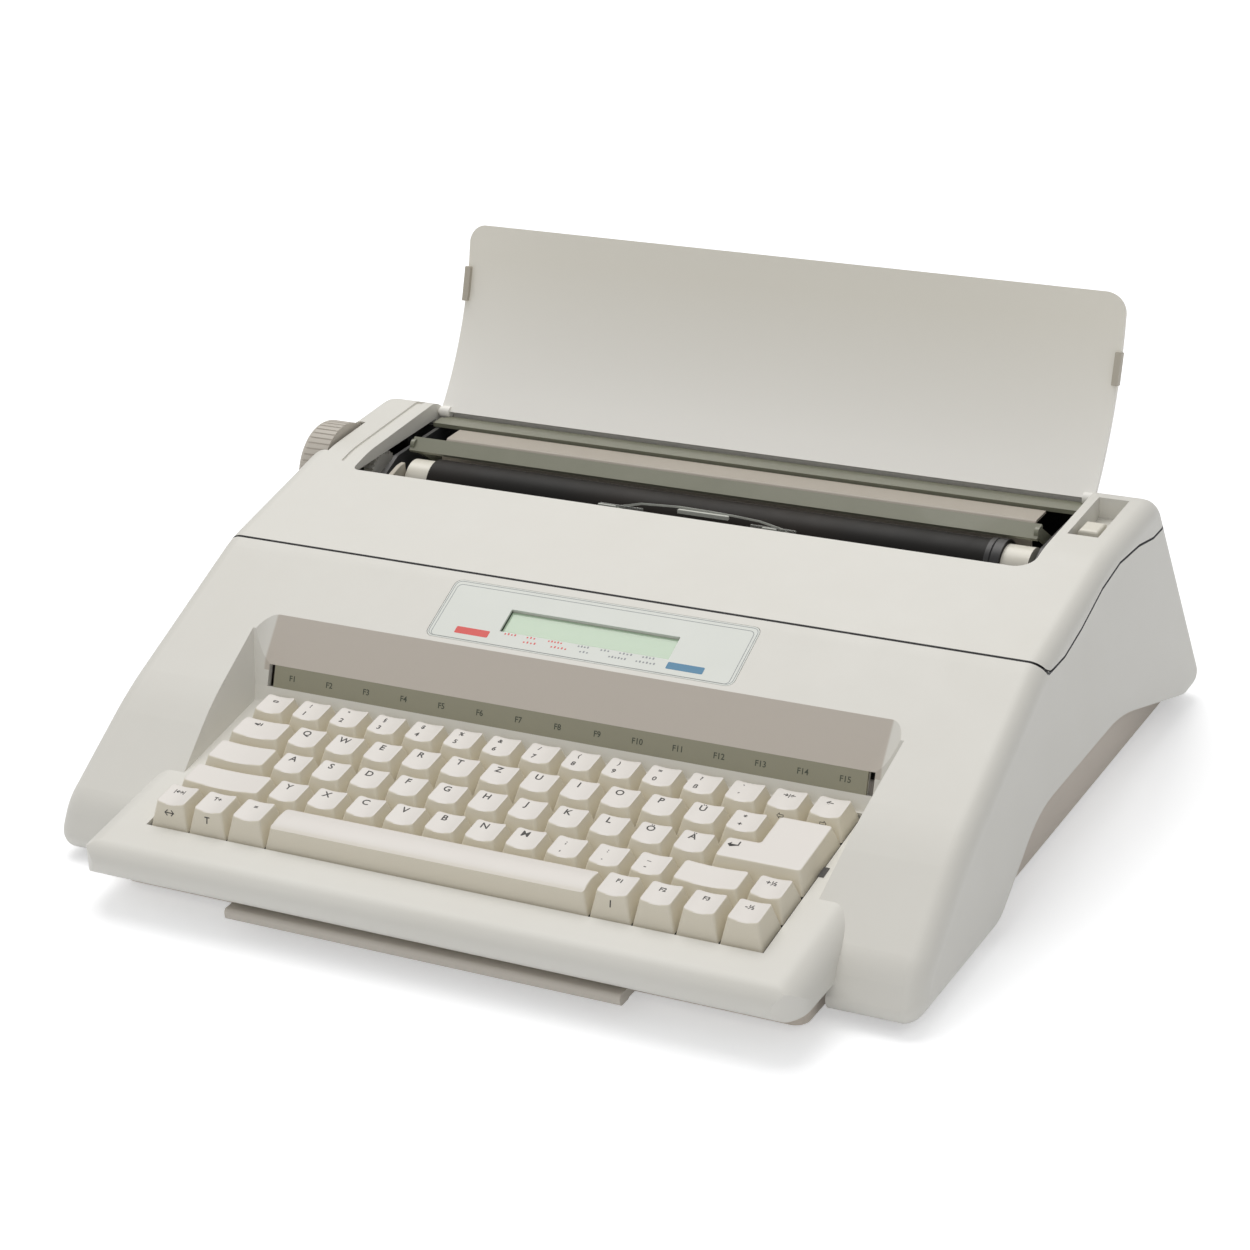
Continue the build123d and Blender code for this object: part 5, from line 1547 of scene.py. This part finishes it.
@dataclass(frozen=True)
class Lamp:
    """One soft studio lamp."""

    name: str
    place: Point3
    target: Point3
    size: float
    power: float
    colour: Colour = WHITE

    def build(self) -> None:
        """Hang the lamp."""
        light = bpy.data.lights.new(self.name, "AREA")
        light.shape = "SQUARE"
        light.size = self.size
        light.energy = self.power
        light.color = self.colour
        lamp = bpy.data.objects.new(self.name, light)
        lamp.location = self.place
        aim = Vector(self.target) - Vector(self.place)
        lamp.rotation_euler = aim.to_track_quat("-Z", "Y").to_euler()
        bpy.context.scene.collection.objects.link(lamp)


@dataclass
class Studio:
    """Pale floor, soft light and the camera."""

    lens: float = 95.38
    sensor: float = 36.0
    eye: Point3 = (0.6383, -1.1510, 0.6659)
    right: Point3 = (0.8855, 0.46155, -0.05345)
    down: Point3 = (0.14529, -0.38431, -0.9117)
    ahead: Point3 = (-0.44134, 0.79955, -0.40736)
    floor_size: float = 30.0
    floor_colour: Colour = (0.86, 0.87, 0.89)
    floor_gloss: float = 0.1
    floor_roughness: float = 0.9
    floor_glow: float = 0.42
    sky: float = 0.45
    lamps: tuple[Lamp, ...] = (
        Lamp("overhead", (-0.7, 0.9, 2.4), (0.0, 0.0, 0.0), 2.0, 39.0, (1.0, 0.985, 0.965)),
        Lamp("front_fill", (0.4, -2.4, 1.2), (0.0, 0.0, 0.05), 1.6, 8.0, (1.0, 0.975, 0.93)),
    )

    def build(self) -> None:
        """Build the whole stage."""
        self.make_floor()
        self.make_world()
        for lamp in self.lamps:
            lamp.build()
        self.make_camera()
        bpy.context.scene.view_settings.view_transform = "Standard"

    def make_floor(self) -> None:
        """A pale floor that keeps the shadow and shows white behind the machine."""
        half = self.floor_size / 2
        points = [Vector((x, y, 0.0)) for x, y in rectangle(-half, -half, half, half)]
        material = bpy.data.materials.new("floor_paper")
        material.use_nodes = True
        material.node_tree.nodes.clear()
        w = Wiring(material.node_tree)
        output = w.add("ShaderNodeOutputMaterial")
        paper = w.fill(w.add("ShaderNodeBsdfPrincipled"), {
            "Base Color": self.floor_colour,
            "Roughness": self.floor_roughness,
            "Specular IOR Level": self.floor_gloss,
        })
        seen = self.seen(w, "Is Camera Ray", "Is Glossy Ray", "Is Transmission Ray")
        glow = w.add("ShaderNodeEmission")
        w.fill(glow, {"Color": WHITE, "Strength": w.math("MULTIPLY", seen, self.floor_glow)})
        both = w.add("ShaderNodeAddShader")
        w.join(paper.outputs["BSDF"], both.inputs[0])
        w.join(glow.outputs["Emission"], both.inputs[1])
        w.join(both.outputs["Shader"], output.inputs["Surface"])
        make_object("studio_floor", points, [[0, 1, 2, 3]], material)

    def make_world(self) -> None:
        """Even sky light, white where the camera sees it."""
        world = bpy.data.worlds.new("studio_sky")
        bpy.context.scene.world = world
        world.use_nodes = True
        world.node_tree.nodes.clear()
        w = Wiring(world.node_tree)
        output = w.add("ShaderNodeOutputWorld")
        seen = self.seen(w, "Is Camera Ray", "Is Transmission Ray")
        rest = w.math("MULTIPLY", w.math("SUBTRACT", 1.0, seen), self.sky)
        back = w.add("ShaderNodeBackground")
        w.fill(back, {"Color": WHITE, "Strength": w.math("ADD", rest, seen)})
        w.join(back.outputs["Background"], output.inputs["Surface"])

    def seen(self, w: Wiring, *rays: str) -> Socket:
        """1 for the named kinds of ray, 0 for all others.

        Args:
            w: Wiring of the material or the world.
            *rays: Names of the kinds of ray.

        Returns:
            The value.
        """
        path = w.add("ShaderNodeLightPath")
        result = path.outputs[rays[0]]
        for ray in rays[1:]:
            result = w.math("MAXIMUM", result, path.outputs[ray])
        return result

    def make_camera(self) -> None:
        """The camera at the photograph's viewing angle."""
        data = bpy.data.cameras.new("camera")
        data.lens = self.lens
        data.sensor_width = self.sensor
        data.sensor_fit = "HORIZONTAL"
        data.clip_end = 100.0
        camera = bpy.data.objects.new("camera", data)
        right, up, back = Vector(self.right), -Vector(self.down), -Vector(self.ahead)
        rotation = Matrix((right, up, back)).transposed().to_4x4()
        camera.matrix_world = Matrix.Translation(Vector(self.eye)) @ rotation
        bpy.context.scene.collection.objects.link(camera)
        bpy.context.scene.camera = camera


def main() -> None:
    """Build the looks in order."""
    logging.basicConfig(level=logging.INFO, format="%(message)s")
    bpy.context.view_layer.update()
    paint = Paintbox()
    paint.dress_nodes()
    Keyboard(paint).build()
    DisplayPrinting(paint).build()
    Trim(paint).build()
    Studio().build()


if __name__ == "__main__":
    main()
